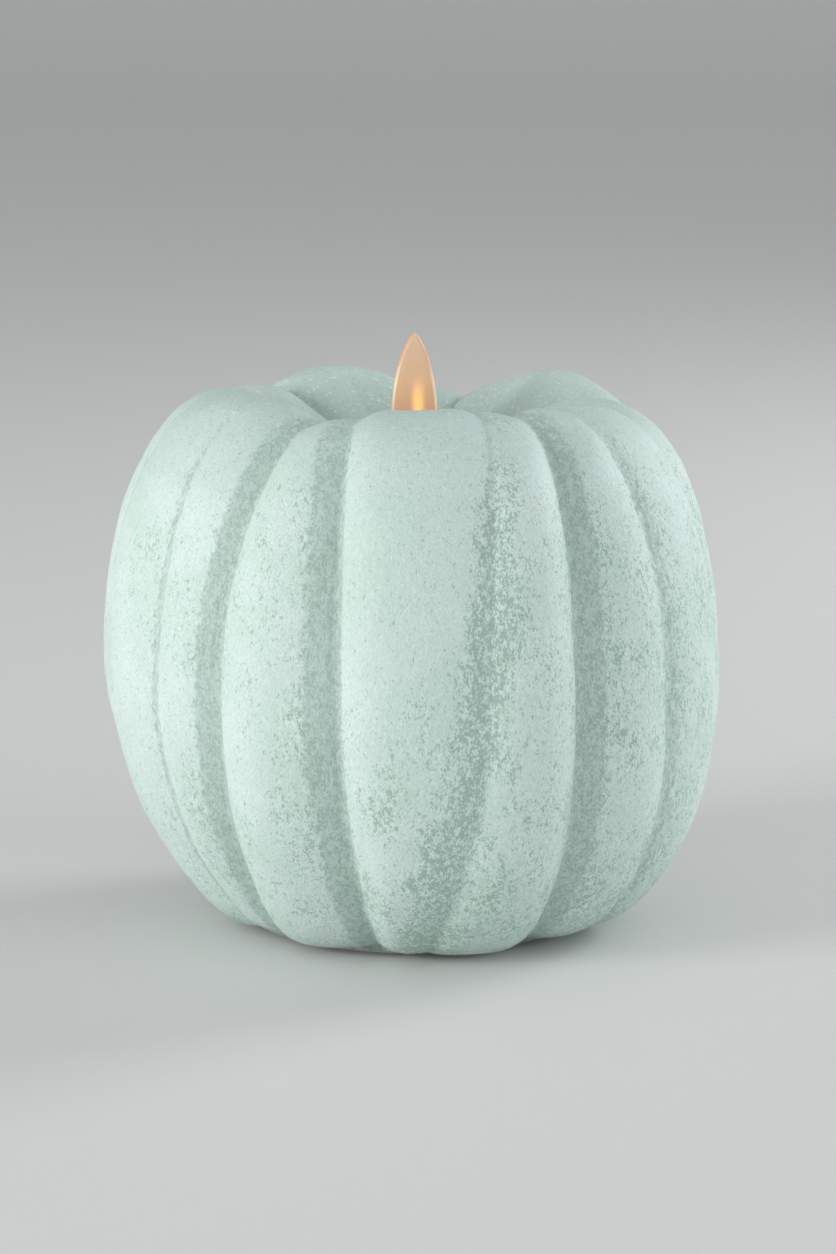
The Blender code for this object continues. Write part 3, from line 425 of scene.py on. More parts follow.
def groove_parts(azimuth, station):
    """The grooves' summed depth, and how far each place lies in their bare bands and flanks."""
    up = smooth_step(station)
    down = smooth_step(-station)
    near_crest = smooth_step((station - 0.45) / 0.5)
    depth = np.zeros(np.broadcast(azimuth, station).shape)
    bands, flanks = np.zeros_like(depth), np.zeros_like(depth)
    for groove in GROOVES:
        centre = groove.waist * (1 - up - down) + groove.crest * up + groove.base * down
        off = wrapped(azimuth - centre)
        lost = near_crest * (1.0 - groove.at_crest)
        width = np.where(off < 0, groove.before, groove.after) * (1.0 + lost)
        valley = np.exp(-np.abs(off / width) ** (CUSP + lost))
        slope = bell(off / (SLOPE_WIDTH * width))
        depth += groove.depth * (1.0 - lost) * (VALLEY_SHARE * valley + SLOPE_SHARE * slope)

        worn = min(1.0, groove.depth / DEEP_GROOVE) * (1.0 - 0.6 * near_crest)
        gentle = (off < 0) == (groove.before > groove.after)
        band = np.where(gentle, bell(off / (BAND_WIDTH * width), 4), bell(off / STEEP_LINE))
        bands += worn * band
        flanks += worn * bell(off / (FLANK_WIDTH * width))
    return depth, bands, flanks


def groove_depth(azimuth, station):
    """How far the wax lies inside the plain outline, with grooves that fade low down and in the well."""
    depth, _, _ = groove_parts(azimuth, station)
    fade = 1.0 - 0.55 * smooth_step((-station - 0.55) / 0.45)
    fade = fade * (1.0 - smooth_step(station - 1.0))
    for centre, half_width, drop in LOW_CRESTS:
        near_top = bell((station - 1.0) / 0.35)
        depth = depth + drop * bell(wrapped(azimuth - centre) / half_width) * near_top
    return depth * fade


def wax_ring(station, azimuth, inset, share):
    """The wax inset from the plain outline, with a share of its grooves, as (radius, height)."""
    radius, height = outline_point(station, azimuth)
    out_r, out_z = outline_normal(station, azimuth)
    offset = inset + share * groove_depth(azimuth, station)
    return radius - out_r * offset, height - out_z * offset


def place(radius, height, azimuth):
    """Points (x, y, z) from a radius, a height and an azimuth."""
    turn = np.radians(azimuth)
    axes = np.broadcast_arrays(radius * np.sin(turn), -radius * np.cos(turn), height)
    return np.stack(axes, axis=-1)


def wax_outside(azimuth, station):
    """The outer surface, with a relief that fades out at the table and at the mouth."""
    plain = place(*wax_ring(station, azimuth, 0.0, 1.0), azimuth)
    outward = place(*outline_normal(station, azimuth), azimuth)
    fade = smooth_step((station + 1.0) / 0.08) * smooth_step((1.97 - station) / 0.1)
    rise = sum(height * noise_field(plain, scale, seed) for height, scale, seed in RELIEF)
    return plain + outward * (rise * fade)[..., None]


def wax_inside(azimuth):
    """Rings from the mouth down the inner surface to the rabbet in which the base plate sits."""
    _, floor = well_point(np.float64(1.0))
    rim = [(MOUTH_RADIUS, floor - 0.6 * MM), (MOUTH_RADIUS, floor - WALL + 0.5 * MM)]
    station = np.linspace(*INNER_STATIONS, INNER_ROWS)[None, :]
    ledge = PLATE_RADIUS - 4.0 * MM
    rabbet = [
        (ledge, PLATE_TOP + 4.5 * MM),
        (ledge, PLATE_TOP + FIT_GAP),
        (PLATE_RADIUS + FIT_GAP, PLATE_TOP + FIT_GAP),
        (PLATE_RADIUS + FIT_GAP, GROUND_GAP + 0.6 * MM),
        (PLATE_RADIUS + 1.0 * MM, GROUND_GAP + 0.1 * MM),
    ]
    rings = [place(radius, height, azimuth) for radius, height in rim]
    rings.append(place(*wax_ring(station, azimuth, WALL, INNER_GROOVES), azimuth))
    return rings + [place(radius, height, azimuth) for radius, height in rabbet]


def build_wax():
    azimuth = (360.0 * np.arange(COLUMNS) / COLUMNS)[:, None]
    side = np.linspace(-1.0, 1.0, SIDE_ROWS + 1)
    well = 1.0 + WELL_REACH * np.arange(1, WELL_ROWS + 1) / WELL_ROWS
    station = np.concatenate([side, well])[None, :]
    outer = wax_outside(azimuth, station)
    points = np.concatenate([outer] + wax_inside(azimuth), axis=1)

    _, bands, flanks = groove_parts(azimuth, station)
    fields = {
        "band": np.minimum(bands, 1.0),
        "flank": np.minimum(flanks, 1.0),
        "station": station,
        "turn": wrapped(azimuth),
    }
    attributes = {}
    for name, values in fields.items():
        attributes[name] = np.zeros(points.shape[:2])
        attributes[name][:, : outer.shape[1]] = values
    mesh = grid_mesh("wax_pumpkin", points, attributes)
    add_piece("wax_pumpkin", mesh, wax_material(), "root", "pumpkin_shell")


# ---------------------------------------------------------------- materials


class Nodes:
    """Short calls that add shader nodes to a material and link them."""

    def __init__(self, name):
        self.material = bpy.data.materials.new(name)
        self.material.use_nodes = True
        self.tree = self.material.node_tree
        self.shader = self.tree.nodes["Principled BSDF"]

    def add(self, kind, inputs=None, **settings):
        node = self.tree.nodes.new("ShaderNode" + kind)
        for key, value in settings.items():
            setattr(node, key, value)
        for key, value in (inputs or {}).items():
            self.feed(node.inputs[key], value)
        return node

    def feed(self, socket, value):
        if isinstance(value, bpy.types.NodeSocket):
            self.tree.links.new(value, socket)
        else:
            socket.default_value = value

    def coordinates(self, scale=(1.0, 1.0, 1.0)):
        source = self.add("TexCoord").outputs["Object"]
        return self.add("Mapping", {"Vector": source, "Scale": scale}).outputs["Vector"]

    def noise(self, vector, scale, detail, roughness):
        """Noise of about scale cells per metre."""
        inputs = {"Vector": vector, "Scale": scale, "Detail": detail, "Roughness": roughness}
        return self.add("TexNoise", inputs).outputs["Fac"]

    def math(self, operation, *values):
        node = self.add("Math", operation=operation)
        for socket, value in zip(node.inputs, values):
            self.feed(socket, value)
        return node.outputs[0]

    def ramp(self, value, low, high, out_low=0.0, out_high=1.0):
        """value from low..high to out_low..out_high, smoothly and clamped."""
        inputs = {"Value": value, "From Min": low, "From Max": high}
        inputs.update({"To Min": out_low, "To Max": out_high})
        return self.add("MapRange", inputs, interpolation_type="SMOOTHSTEP").outputs["Result"]

    def blend(self, share, first, second):
        """Colour first where share is 0 and second where it is 1."""
        node = self.add("Mix", data_type="RGBA")
        self.feed(node.inputs[0], share)
        for socket, value in ((node.inputs[6], first), (node.inputs[7], second)):
            self.feed(socket, value if isinstance(value, bpy.types.NodeSocket) else (*value, 1.0))
        return node.outputs[2]

    def attribute(self, name):
        return self.add("Attribute", attribute_name=name).outputs["Fac"]

    def bump(self, height, distance, normal=None):
        inputs = {"Height": height, "Distance": distance}
        if normal is not None:
            inputs["Normal"] = normal
        return self.add("Bump", inputs).outputs["Normal"]

    def surface(self, **values):
        """Sets the shader's sockets; a name such as Base_Color stands for Base Color."""
        for key, value in values.items():
            socket = self.shader.inputs[key.replace("_", " ")]
            if isinstance(value, tuple) and len(value) == 3 and len(socket.default_value) == 4:
                value = (*value, 1.0)
            self.feed(socket, value)
        return self.material


# What the wax's look depends on: noises from fine to broad, and the fields of its mesh
Bloom = namedtuple("Bloom", "grain crust cluster patch band flank station turn")


def bloom_inputs(n):
    upright = n.coordinates((1.0, 1.0, 0.62))  # specks are a little longer along the ribs
    return Bloom(
        grain=n.noise(upright, 2600.0, 1.5, 0.5),
        crust=n.noise(upright, 820.0, 3.0, 0.85),
        cluster=n.noise(upright, 150.0, 3.0, 0.6),
        patch=n.noise(n.coordinates(), 45.0, 2.0, 0.5),
        band=n.attribute("band"),
        flank=n.attribute("flank"),
        station=n.attribute("station"),
        turn=n.attribute("turn"),
    )


def calm_areas(n, bloom, ragged):
    """The smooth tops of the ribs, and the tops together with the upper front rib."""
    left = n.ramp(bloom.turn, -25.0, -50.0)
    top = n.ramp(n.math("MULTIPLY_ADD", left, 0.15, ragged), 0.75, 0.98)
    front = n.math("MULTIPLY", n.ramp(bloom.turn, -22.0, -13.0), n.ramp(bloom.turn, 13.0, 5.0))
    front = n.math("MULTIPLY", front, n.ramp(ragged, 0.22, 0.48))
    return top, n.math("MAXIMUM", front, top)


def bloom_wear_and_shade(n, bloom, calm):
    """How far the bloom is worn, from 0 to 1, with painted shade towards the right and low down."""
    streak_turn = n.math("MULTIPLY_ADD", bloom.station, -14.0, bloom.turn)
    streak = n.math("MULTIPLY", n.ramp(streak_turn, 4.0, 9.0), n.ramp(streak_turn, 17.0, 12.0))
    wear_and_shade = n.math("MULTIPLY_ADD", bloom.cluster, 2.2, -1.25)
    shares = (
        (0.30, n.ramp(bloom.patch, 0.3, 0.7)),
        (0.22, bloom.flank),
        (0.32, n.ramp(bloom.turn, -45.0, 5.0)),  # worn more from the middle to the right, with painted shade on the side away from the key light
        (0.64, streak),
        (0.22, n.ramp(bloom.station, 0.0, -0.8)),  # and low down: wear, with painted shade near the floor
        (-0.70, calm),
    )
    for share, area in shares:
        wear_and_shade = n.math("MULTIPLY_ADD", area, share, wear_and_shade)
    return n.math("MAXIMUM", n.math("MINIMUM", wear_and_shade, 1.0), 0.0)


def pale_bloom(n, bloom, top, calm):
    """The unworn bloom: two tints in broad patches, thinner in clusters, and painted shade in a darker
    grey on calm areas.
    """
    pale = n.blend(n.ramp(bloom.patch, 0.35, 0.65), BLUE_BLOOM, GREEN_BLOOM)
    pale = n.blend(n.ramp(bloom.cluster, 0.35, 0.65, 0.30, 0.0), pale, THIN_BLOOM)
    pale = n.blend(n.ramp(bloom.grain, 0.35, 0.65, 0.38, 0.0), pale, GRAINY_BLOOM)
    # painted shade on the calm tops and the upper front rib
    calm_shade = n.math("MULTIPLY_ADD", top, 0.25, n.math("MULTIPLY", calm, 0.33))
    return n.blend(calm_shade, pale, SHADED_CALM_BLOOM)


def wax_colour(n, bloom):
    ragged = n.math("MULTIPLY_ADD", bloom.cluster, 0.5, bloom.station)
    top, calm = calm_areas(n, bloom, ragged)
    wear_and_shade = bloom_wear_and_shade(n, bloom, calm)
    mixed = n.math("MULTIPLY_ADD", bloom.crust, 0.62, n.math("MULTIPLY", bloom.grain, 0.38))
    specks = n.ramp(n.math("MULTIPLY_ADD", wear_and_shade, -0.12, mixed), 0.408, 0.366)
    flakes = n.math("MULTIPLY", n.ramp(mixed, 0.52, 0.58), n.ramp(wear_and_shade, 0.0, 0.6, 0.16, 0.34))

    # worn bloom, with painted shade towards the right and low down
    colour = n.blend(n.math("MULTIPLY", wear_and_shade, 0.42), pale_bloom(n, bloom, top, calm), WORN_AND_SHADED_BLOOM)
    colour = n.blend(n.math("MULTIPLY", specks, 0.80), colour, SPECK)
    colour = n.blend(flakes, colour, FLAKE)

    # Bare wax along the grooves, painted shade inside the well, and the well's white flecks
    bare = n.blend(n.ramp(mixed, 0.42, 0.58), BARE_WAX, RUBBED_WAX)
    cover = n.ramp(n.math("MULTIPLY_ADD", bloom.crust, -0.8, bloom.band), -0.22, 0.16, 0.0, 0.84)
    colour = n.blend(cover, colour, bare)
    # painted shade: the wax is darkened down into the well
    colour = n.blend(n.ramp(bloom.station, 1.15, 1.6, 0.0, 0.35), colour, PAINTED_WELL_SHADE)
    flecks = n.math("MULTIPLY", n.ramp(bloom.crust, 0.61, 0.68), n.ramp(ragged, 0.85, 1.40, 0.0, 0.85))
    return n.blend(flecks, colour, WHITE_FLECK)


def wax_material():
    """Grey-green wax under a pale bloom that is worn away in specks and along the grooves."""
    n = Nodes("mint_wax")
    bloom = bloom_inputs(n)
    fine = n.bump(bloom.grain, 0.13 * MM)
    return n.surface(
        Base_Color=wax_colour(n, bloom),
        Roughness=n.ramp(bloom.grain, 0.3, 0.7, 0.72, 0.54),
        Normal=n.bump(bloom.crust, 0.26 * MM, normal=fine),
        Subsurface_Weight=0.25,
        Subsurface_Radius=(1.0, 1.3, 1.15),
        Subsurface_Scale=0.0025,
    )


def plastic_material(name, colour, rough, grain=0.02):
    """Moulded plastic: slight mottling and a fine moulded texture, grain millimetres deep."""
    n = Nodes(name)
    flat = n.coordinates()
    mottle = n.noise(flat, 300.0, 3.0, 0.6)
    darker = tuple(channel * 0.94 for channel in colour)
    texture = n.noise(flat, 5200.0, 2.0, 0.6)
    return n.surface(
        Base_Color=n.blend(n.ramp(mottle, 0.3, 0.7), darker, colour),
        Roughness=n.ramp(mottle, 0.3, 0.7, rough + 0.07, rough - 0.05),
        Normal=n.bump(texture, grain * MM),
    )


def flame_material():
    """Frosted amber plastic with a painted glow, most in a streak low down; painted highlight on the low
    rim, dark rim above.
    """
    n = Nodes("flame_plastic")
    split = n.add("SeparateXYZ", {"Vector": n.coordinates()}).outputs
    below_tip = n.math("SUBTRACT", FLAME_TIP, split["Z"])
    off_streak = n.math("ABSOLUTE", n.math("SUBTRACT", split["X"], STREAK_X))
    edge = n.attribute("edge")

    streak = n.ramp(off_streak, 2.1 * MM, 0.1 * MM)
    streak = n.math("MULTIPLY", streak, n.ramp(below_tip, 8.8 * MM, 16.8 * MM))
    # painted highlight on the rim of the lower blade
    highlight_edge = n.math("MULTIPLY", edge, n.ramp(below_tip, 5.3 * MM, 12.3 * MM))
    high_edge = n.math("SUBTRACT", edge, highlight_edge)

    rise = n.ramp(below_tip, 18.3 * MM, 0.3 * MM)
    colour = n.blend(rise, LOW_AMBER, HIGH_AMBER)
    colour = n.blend(streak, colour, LIT_AMBER)
    colour = n.blend(n.math("MULTIPLY", high_edge, 0.6), colour, DARK_RIM)
    colour = n.blend(n.math("MULTIPLY", highlight_edge, 0.6), colour, PAINTED_RIM_HIGHLIGHT)
    mottle = n.noise(n.coordinates(), 900.0, 2.0, 0.5)
    return n.surface(
        Base_Color=colour,
        Roughness=0.42,
        # painted glow: the blade is no lamp, its emission stands in for the LED's light
        Emission_Color=colour,
        Emission_Strength=n.math("MULTIPLY_ADD", streak, 0.40, 0.17),
        Normal=n.bump(mottle, 0.03 * MM),
        Subsurface_Weight=0.2,
        Subsurface_Radius=(1.0, 0.6, 0.3),
        Subsurface_Scale=0.002,
    )


def metal_material(name, colour, rough):
    """Plated or drawn metal with faint tarnish and fine marks."""
    n = Nodes(name)
    flat = n.coordinates()
    marks = n.noise(flat, 900.0, 4.0, 0.7)
    tarnish = tuple(channel * 0.72 for channel in colour)
    return n.surface(
        Base_Color=n.blend(n.ramp(n.noise(flat, 160.0, 3.0, 0.6), 0.45, 0.75), colour, tarnish),
        Metallic=1.0,
        Roughness=n.ramp(marks, 0.3, 0.7, rough - 0.06, rough + 0.10),
        Normal=n.bump(marks, 0.01 * MM),
    )


def lamp_material():
    """Amber epoxy, faintly cloudy and lit."""
    n = Nodes("amber_epoxy")
    cloud = n.noise(n.coordinates(), 500.0, 2.0, 0.5)
    colour = n.blend(n.ramp(cloud, 0.3, 0.7), (0.90, 0.50, 0.12), (0.95, 0.62, 0.22))
    return n.surface(
        Base_Color=colour,
        Roughness=n.ramp(cloud, 0.3, 0.7, 0.10, 0.16),
        Emission_Color=colour,
        Emission_Strength=0.6,
    )


def slot_materials():
    return {
        "ivory_plastic": plastic_material("ivory_plastic", (0.80, 0.76, 0.66), 0.42),
        "black_plastic": plastic_material("black_plastic", (0.035, 0.035, 0.037), 0.38),
        "rubber_feet": plastic_material("grey_rubber", (0.16, 0.16, 0.16), 0.80, 0.05),
        "plated_steel": metal_material("plated_steel", (0.70, 0.70, 0.71), 0.28),
        "copper": metal_material("copper_wire", (0.75, 0.36, 0.20), 0.30),
        "magnet": metal_material("nickel_magnet", (0.62, 0.60, 0.56), 0.18),
        "lamp_epoxy": lamp_material(),
        "board": plastic_material("green_board", (0.030, 0.190, 0.085), 0.35, 0.01),
        "cell_jacket": plastic_material("cell_jacket", (0.30, 0.33, 0.36), 0.30, 0.005),
        "resistor_body": plastic_material("resistor_body", (0.66, 0.50, 0.32), 0.35, 0.01),
        "red_insulation": plastic_material("red_insulation", (0.56, 0.035, 0.025), 0.45, 0.01),
        "yellow_insulation": plastic_material("yellow_insulation", (0.76, 0.56, 0.05), 0.45, 0.01),
    }


def finish_cad_pieces(looks):
    """Gives every CAD piece that is still shown the material of its slot."""
    for part in frame["record"]["subparts"]:
        look = looks.get(part["material_slot"])
        node = frame["nodes"].get(part["node"])
        if look and node:
            for slot in node.material_slots:
                slot.material = look


# ---------------------------------------------------------------- flame


def flame_half_width(below_tip):
    """Half the blade's width at a distance below its tip."""
    if below_tip < FLAME_WIDEST_BELOW_TIP:
        rise = 1.0 - (1.0 - below_tip / FLAME_WIDEST_BELOW_TIP) ** 2
        return FLAME_HALF_WIDTH * rise**FLAME_FULLNESS
    share = (below_tip - FLAME_WIDEST_BELOW_TIP) / (FLAME_NECK_BELOW_TIP - FLAME_WIDEST_BELOW_TIP)
    return FLAME_HALF_WIDTH + (STEM_HALF_WIDTH - FLAME_HALF_WIDTH) * float(smooth_step(share))


def blade_section(half):
    """The blade's section: flat faces, a narrow chamfer and a rounded edge, as (x, y, edge)."""
    thick = BLADE_THICKNESS / 2 * min(1.0, 0.35 + half / (0.5 * FLAME_HALF_WIDTH))
    rim = min(0.5 * MM, 0.4 * half)
    quarter = [
        (half, 0.0, 1.0),
        (half - 0.15 * rim, 0.45 * thick, 1.0),
        (half - rim, 0.92 * thick, 1.0),
        (half - 1.3 * rim, thick, 0.0),
        (0.5 * half, thick, 0.0),
        (0.0, thick, 0.0),
    ]
    upper = quarter + [(-x, y, edge) for x, y, edge in reversed(quarter[:-1])]
    lower = [(-x, -y, edge) for x, y, edge in upper[1:-1]]
    return upper + lower


def blade_mesh():
    """A thin leaf with a narrow chamfer all round, on a flat stem that ends inside the cup."""
    neck = FLAME_TIP - FLAME_NECK_BELOW_TIP
    foot = MAGNET_BOTTOM + MAGNET_HEIGHT + 0.4 * MM
    sections = []
    for row in range(1, LEAF_ROWS + 1):
        depth = FLAME_NECK_BELOW_TIP * (row / LEAF_ROWS) ** ROW_CROWDING
        sections.append((FLAME_TIP - depth, flame_half_width(depth)))
    for row in range(1, STEM_ROWS + 1):
        sections.append((neck + (foot - neck) * row / STEM_ROWS, STEM_HALF_WIDTH))

    mesh = bpy.data.meshes.new("flame")
    work = bmesh.new()
    edge_layer = work.verts.layers.float.new("edge")
    tip = work.verts.new((0.0, 0.0, FLAME_TIP))
    tip[edge_layer] = 1.0
    rings = []
    for height, half in sections:
        ring = []
        for x, y, edge in blade_section(half):
            corner = work.verts.new((x, y, height))
            corner[edge_layer] = edge
            ring.append(corner)
        rings.append(ring)
    around = len(rings[0])
    for step in range(around):
        after = (step + 1) % around
        work.faces.new((tip, rings[0][step], rings[0][after]))
        for upper, lower in zip(rings, rings[1:]):
            work.faces.new((upper[step], lower[step], lower[after], upper[after]))
    work.faces.new(rings[-1])
    bmesh.ops.recalc_face_normals(work, faces=work.faces)
    work.to_mesh(mesh)
    work.free()
    return mesh


def build_flame():
    """The blade, with the eye that hangs on the wire and the cup for the magnet at its foot."""
    eye = extruded("eye", circle(EYE_RADIUS), -2.0 * MM, 2.0 * MM)
    eye.transform(Matrix.Translation((0.0, 0.0, PIVOT_HEIGHT)) @ Matrix.Rotation(math.pi / 2, 4, "X"))
    low, pocket_top = MAGNET_BOTTOM + 0.1 * MM, MAGNET_BOTTOM + MAGNET_HEIGHT + FIT_GAP
    outer, high = MAGNET_RADIUS + CUP_WALL, pocket_top + CUP_WALL
    edge = 0.3 * MM
    profile = [
        (0.0, low),
        (outer, low),
        (outer, high - edge),
        (outer - 0.3 * edge, high - 0.3 * edge),
        (outer - edge, high),
        (0.0, high),
    ]
    cup = turned("cup", profile)
    pocket = extruded("pocket", circle(MAGNET_RADIUS + FIT_GAP), low - MM, pocket_top)
    mesh = shaped(blade_mesh(), joined=[cup], cut=[pocket, eye])
    add_piece("flame", mesh, flame_material(), "flame", "flame_blade")


# ---------------------------------------------------------------- collar, base plate and door


def build_collar(ivory):
    """The ring in the well's mouth, its top edge rounded, with a slot in its floor."""
    inside = COLLAR_RADIUS - COLLAR_WALL
    skirt = PIVOT_HEIGHT + 2.2 * MM
    profile = [
        (0.0, COLLAR_FLOOR),
        (inside, COLLAR_FLOOR),
        (inside, skirt),
        (COLLAR_RADIUS, skirt),
        (COLLAR_RADIUS, FLANGE_BOTTOM),
        (FLANGE_RADIUS, FLANGE_BOTTOM),
        (FLANGE_RADIUS, FLANGE_TOP),
        (COLLAR_RADIUS, FLANGE_TOP),
    ]
    rounding, middle = COLLAR_WALL / 2, COLLAR_RADIUS - COLLAR_WALL / 2
    for step in range(9):
        turn = math.pi * step / 8
        height = COLLAR_TOP - rounding * (1.0 - math.sin(turn))
        profile.append((middle + rounding * math.cos(turn), height))
    profile += [(inside, COLLAR_FLOOR + 2.4 * MM), (inside - 0.4 * MM, COLLAR_FLOOR + 1.9 * MM)]
    profile.append((0.0, COLLAR_FLOOR + 1.2 * MM))
    opening = rounded_box(*SLOT_HALF, SLOT_HALF[1])
    slot = extruded("slot", opening, COLLAR_FLOOR - 2.0 * MM, COLLAR_FLOOR + 4.0 * MM)
    mesh = shaped(turned("collar", profile, 128), cut=[slot])
    add_piece("collar", mesh, ivory, "root", "flame_collar")


def plate_profile():
    """The plate's turned profile, with a shallow step round its rim."""
    edge = 0.5 * MM
    step_radius = PLATE_RADIUS - 2.2 * MM
    rim_bottom = PLATE_BOTTOM + 0.3 * MM
    return [
        (0.0, PLATE_BOTTOM),
        (step_radius - 0.3 * MM, PLATE_BOTTOM),
        (step_radius, rim_bottom),
        (PLATE_RADIUS - edge, rim_bottom),
        (PLATE_RADIUS - 0.3 * edge, rim_bottom + 0.3 * edge),
        (PLATE_RADIUS, rim_bottom + edge),
        (PLATE_RADIUS, PLATE_TOP),
        (0.0, PLATE_TOP),
    ]


def build_base_plate(ivory):
    """The round plate under the wax, with its door opening, switch slot, recesses and holes."""
    opening = rounded_box(DOOR_HALF[0] + FIT_GAP, DOOR_HALF[1] + FIT_GAP, 2.0 * MM)
    slot = rounded_box(3.7 * MM, 1.45 * MM, 0.4 * MM, (0.0, SWITCH_Y))
    dish = rounded_box(4.6 * MM, 2.4 * MM, 1.0 * MM, (0.0, SWITCH_Y))
    cutters = [
        extruded("opening", opening, 0.0, THROUGH_PLATE),
        extruded("slot", slot, 0.0, THROUGH_PLATE),
        extruded("dish", dish, 0.0, PLATE_BOTTOM + 0.4 * MM),
    ]
    for spot in FOOT_PLACES:
        recess = circle(FOOT_RADIUS + FIT_GAP, spot)
        cutters.append(extruded("recess", recess, 0.0, FOOT_HEIGHT + FIT_GAP))
    for spot in BOSS_PLACES:
        bore, hole = circle(COUNTERBORE_RADIUS, spot), circle(SCREW_HOLE_RADIUS, spot, 32)
        cutters.append(extruded("counterbore", bore, 0.0, COUNTERBORE_TOP))
        cutters.append(extruded("hole", hole, 2.5 * MM, THROUGH_PLATE))
    for side in (-1, 1):
        pilot = circle(PILOT_RADIUS, (side * SWITCH_SCREW_X, SWITCH_Y), 24)
        cutters.append(extruded("pilot", pilot, 2.4 * MM, THROUGH_PLATE))
    mesh = shaped(turned("base", plate_profile(), 160), cut=cutters, bevel=SOFT_EDGE)
    add_piece("base", mesh, ivory, "root", "base_plate")


def build_door(ivory):
    """The battery door at rest, with its two tabs, its latch tongue and three grip grooves."""
    bottom, tab_top = PLATE_BOTTOM, PLATE_BOTTOM + TAB_TOP
    panel_top = bottom + DOOR_THICKNESS
    root = panel_top - 0.6 * MM  # the tabs and the latch grow out of the panel from here
    far_edge = HINGE_Y + 2 * DOOR_HALF[1]
    panel = extruded("door", rounded_box(*DOOR_HALF, 1.8 * MM), bottom, panel_top)
    joined, cutters = [], []
    for side in (-1, 1):
        x = side * TAB_CENTRE
        neck = rounded_box(2.0 * MM, 0.4 * MM, 0.1 * MM, (x, HINGE_Y + 0.7 * MM), 2)
        tongue = rounded_box(2.0 * MM, 1.5 * MM, 0.4 * MM, (x, HINGE_Y - 0.4 * MM), 3)
        joined.append(extruded("neck", neck, root, tab_top))
        joined.append(extruded("tongue", tongue, tab_top - MM, tab_top))
    latch = rounded_box(4.0 * MM, 0.4 * MM, 0.1 * MM, (0.0, far_edge - 1.1 * MM), 2)
    joined.append(extruded("latch", latch, root, tab_top))
    for side in (-1, 1):
        centre = (side * 5.2 * MM, far_edge - 2.0 * MM)
        relief = rounded_box(0.4 * MM, 3.5 * MM, 0.1 * MM, centre, 2)
        cutters.append(extruded("relief", relief, bottom - MM, panel_top + MM))
    for step in range(3):
        centre = (0.0, far_edge - (1.5 + 1.2 * step) * MM)
        groove = rounded_box(3.5 * MM, 0.25 * MM, 0.1 * MM, centre, 3)
        cutters.append(extruded("grip", groove, bottom - MM, bottom + 0.5 * MM))
    mesh = shaped(panel, joined, cutters, bevel=SOFT_EDGE)
    add_piece("door", mesh, ivory, "door", "battery_door")


def build_feet(rubber):
    """Rubber feet with a rounded edge and a shallow dimple underneath."""
    profile = [(0.0, 0.25 * MM), (2.2 * MM, 0.25 * MM), (2.6 * MM, 0.0), (3.6 * MM, 0.0)]
    for step in range(1, 6):
        turn = math.pi / 2 * step / 5
        radius = FOOT_RADIUS - FOOT_ROUNDING * (1.0 - math.sin(turn))
        profile.append((radius, FOOT_ROUNDING * (1.0 - math.cos(turn))))
    profile += [(FOOT_RADIUS, FOOT_HEIGHT), (0.0, FOOT_HEIGHT)]
    for index, spot in enumerate(FOOT_PLACES, 1):
        mesh = turned(f"rubber_foot_{index}", profile, 64, spot)
        soften(mesh)
        add_piece(f"rubber_foot_{index}", mesh, rubber, "root", f"foot_{index}")


def build_base_screws(steel):
    """Pan-head screws with a cross recess, in the plate's counterbores."""
    head, shank, dome = 2.6 * MM, 1.3 * MM, 0.55 * MM
    bottom = PLATE_BOTTOM + 0.1 * MM
    under_head, point = bottom + 1.2 * MM, bottom + 6.8 * MM
    profile = [(0.0, bottom)]
    for step in range(1, 7):
        turn = math.pi / 2 * step / 6
        profile.append((head * math.sin(turn), bottom + dome * (1.0 - math.cos(turn))))
    profile += [(head, under_head), (shank, under_head), (shank, point), (0.0, point + MM)]
    for index, spot in enumerate(BOSS_PLACES, 1):
        body = turned(f"plate_screw_{index}", profile, 48, spot)
        outline = cross(1.45 * MM, 0.38 * MM, spot)
        recess = extruded("recess", outline, bottom - MM, bottom + 0.6 * MM)
        mesh = shaped(body, cut=[recess], bevel=SOFT_EDGE / 2)
        add_piece(f"plate_screw_{index}", mesh, steel, "root", f"base_screw_{index}")


# ---------------------------------------------------------------- stage


def floor_material():
    n = Nodes("pale_floor")
    return n.surface(Base_Color=(0.66, 0.66, 0.655), Roughness=0.6)


def build_floor():
    """A pale floor that sweeps up far behind the object."""
    bend = [(4.0 + 2.0 * math.sin(t), 2.0 - 2.0 * math.cos(t)) for t in np.linspace(0, math.pi / 2, 12)]
    sweep = [(-3.0, 0.0)] + bend + [(6.0, 6.0)]
    points = [(x, y, z) for y, z in sweep for x in (-8.0, 8.0)]
    faces = [(2 * i, 2 * i + 1, 2 * i + 3, 2 * i + 2) for i in range(len(sweep) - 1)]
    mesh = bpy.data.meshes.new("floor")
    mesh.from_pydata(points, [], faces)
    mesh.shade_smooth()
    mesh.materials.append(floor_material())
    floor = bpy.data.objects.new("floor", mesh)
    bpy.context.scene.collection.objects.link(floor)
    floor.location.z = -FLOOR_DROP


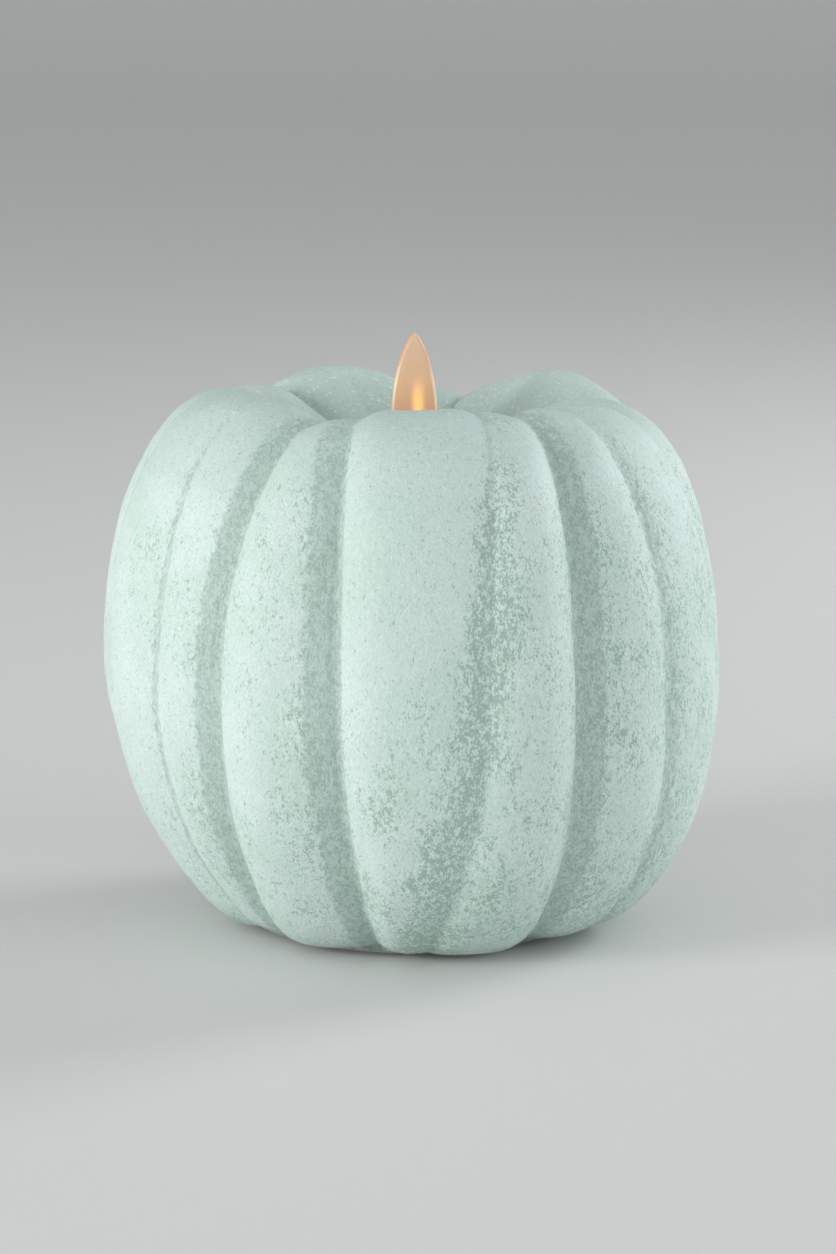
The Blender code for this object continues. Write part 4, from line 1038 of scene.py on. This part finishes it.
def build_world():
    """Soft even light, brighter from the sides than from straight above."""
    world = bpy.data.worlds.new("studio")
    world.use_nodes = True
    bpy.context.scene.world = world
    nodes, links = world.node_tree.nodes, world.node_tree.links
    direction = nodes.new("ShaderNodeTexCoord").outputs["Generated"]
    split = nodes.new("ShaderNodeSeparateXYZ")
    links.new(direction, split.inputs[0])
    fade = nodes.new("ShaderNodeMapRange")
    ends = {"From Min": 0.1, "From Max": 1.0, "To Min": WORLD_LOW, "To Max": WORLD_HIGH}
    for key, value in ends.items():
        fade.inputs[key].default_value = value
    links.new(split.outputs["Z"], fade.inputs["Value"])
    back = nodes["Background"]
    back.inputs["Color"].default_value = (0.97, 0.985, 1.0, 1.0)
    links.new(fade.outputs["Result"], back.inputs["Strength"])


def look_at(item, target):
    """Turns a light or a camera so that it faces a point."""
    away = Vector(target) - item.location
    item.rotation_euler = away.to_track_quat("-Z", "Y").to_euler()


def add_light(name, location, size, power, colour):
    data = bpy.data.lights.new(name, "AREA")
    data.size = size
    data.energy = power
    data.color = colour
    light = bpy.data.objects.new(name, data)
    light.location = location
    look_at(light, LIGHT_TARGET)
    bpy.context.scene.collection.objects.link(light)


def add_camera():
    data = bpy.data.cameras.new("camera")
    data.lens = CAMERA_LENS
    data.sensor_width = CAMERA_SENSOR
    camera = bpy.data.objects.new("camera", data)
    back = Vector((0.0, -math.cos(CAMERA_ELEVATION), math.sin(CAMERA_ELEVATION)))
    camera.location = Vector(CAMERA_TARGET) + CAMERA_DISTANCE * back
    look_at(camera, CAMERA_TARGET)
    bpy.context.scene.collection.objects.link(camera)
    bpy.context.scene.camera = camera


bpy.context.scene.view_settings.view_transform = "Standard"
looks = slot_materials()
build_wax()
build_flame()
build_collar(looks["ivory_plastic"])
build_base_plate(looks["ivory_plastic"])
build_door(looks["ivory_plastic"])
build_feet(looks["rubber_feet"])
build_base_screws(looks["plated_steel"])
finish_cad_pieces(looks)
build_floor()
build_world()
for light in LIGHTS:
    add_light(*light)
add_camera()
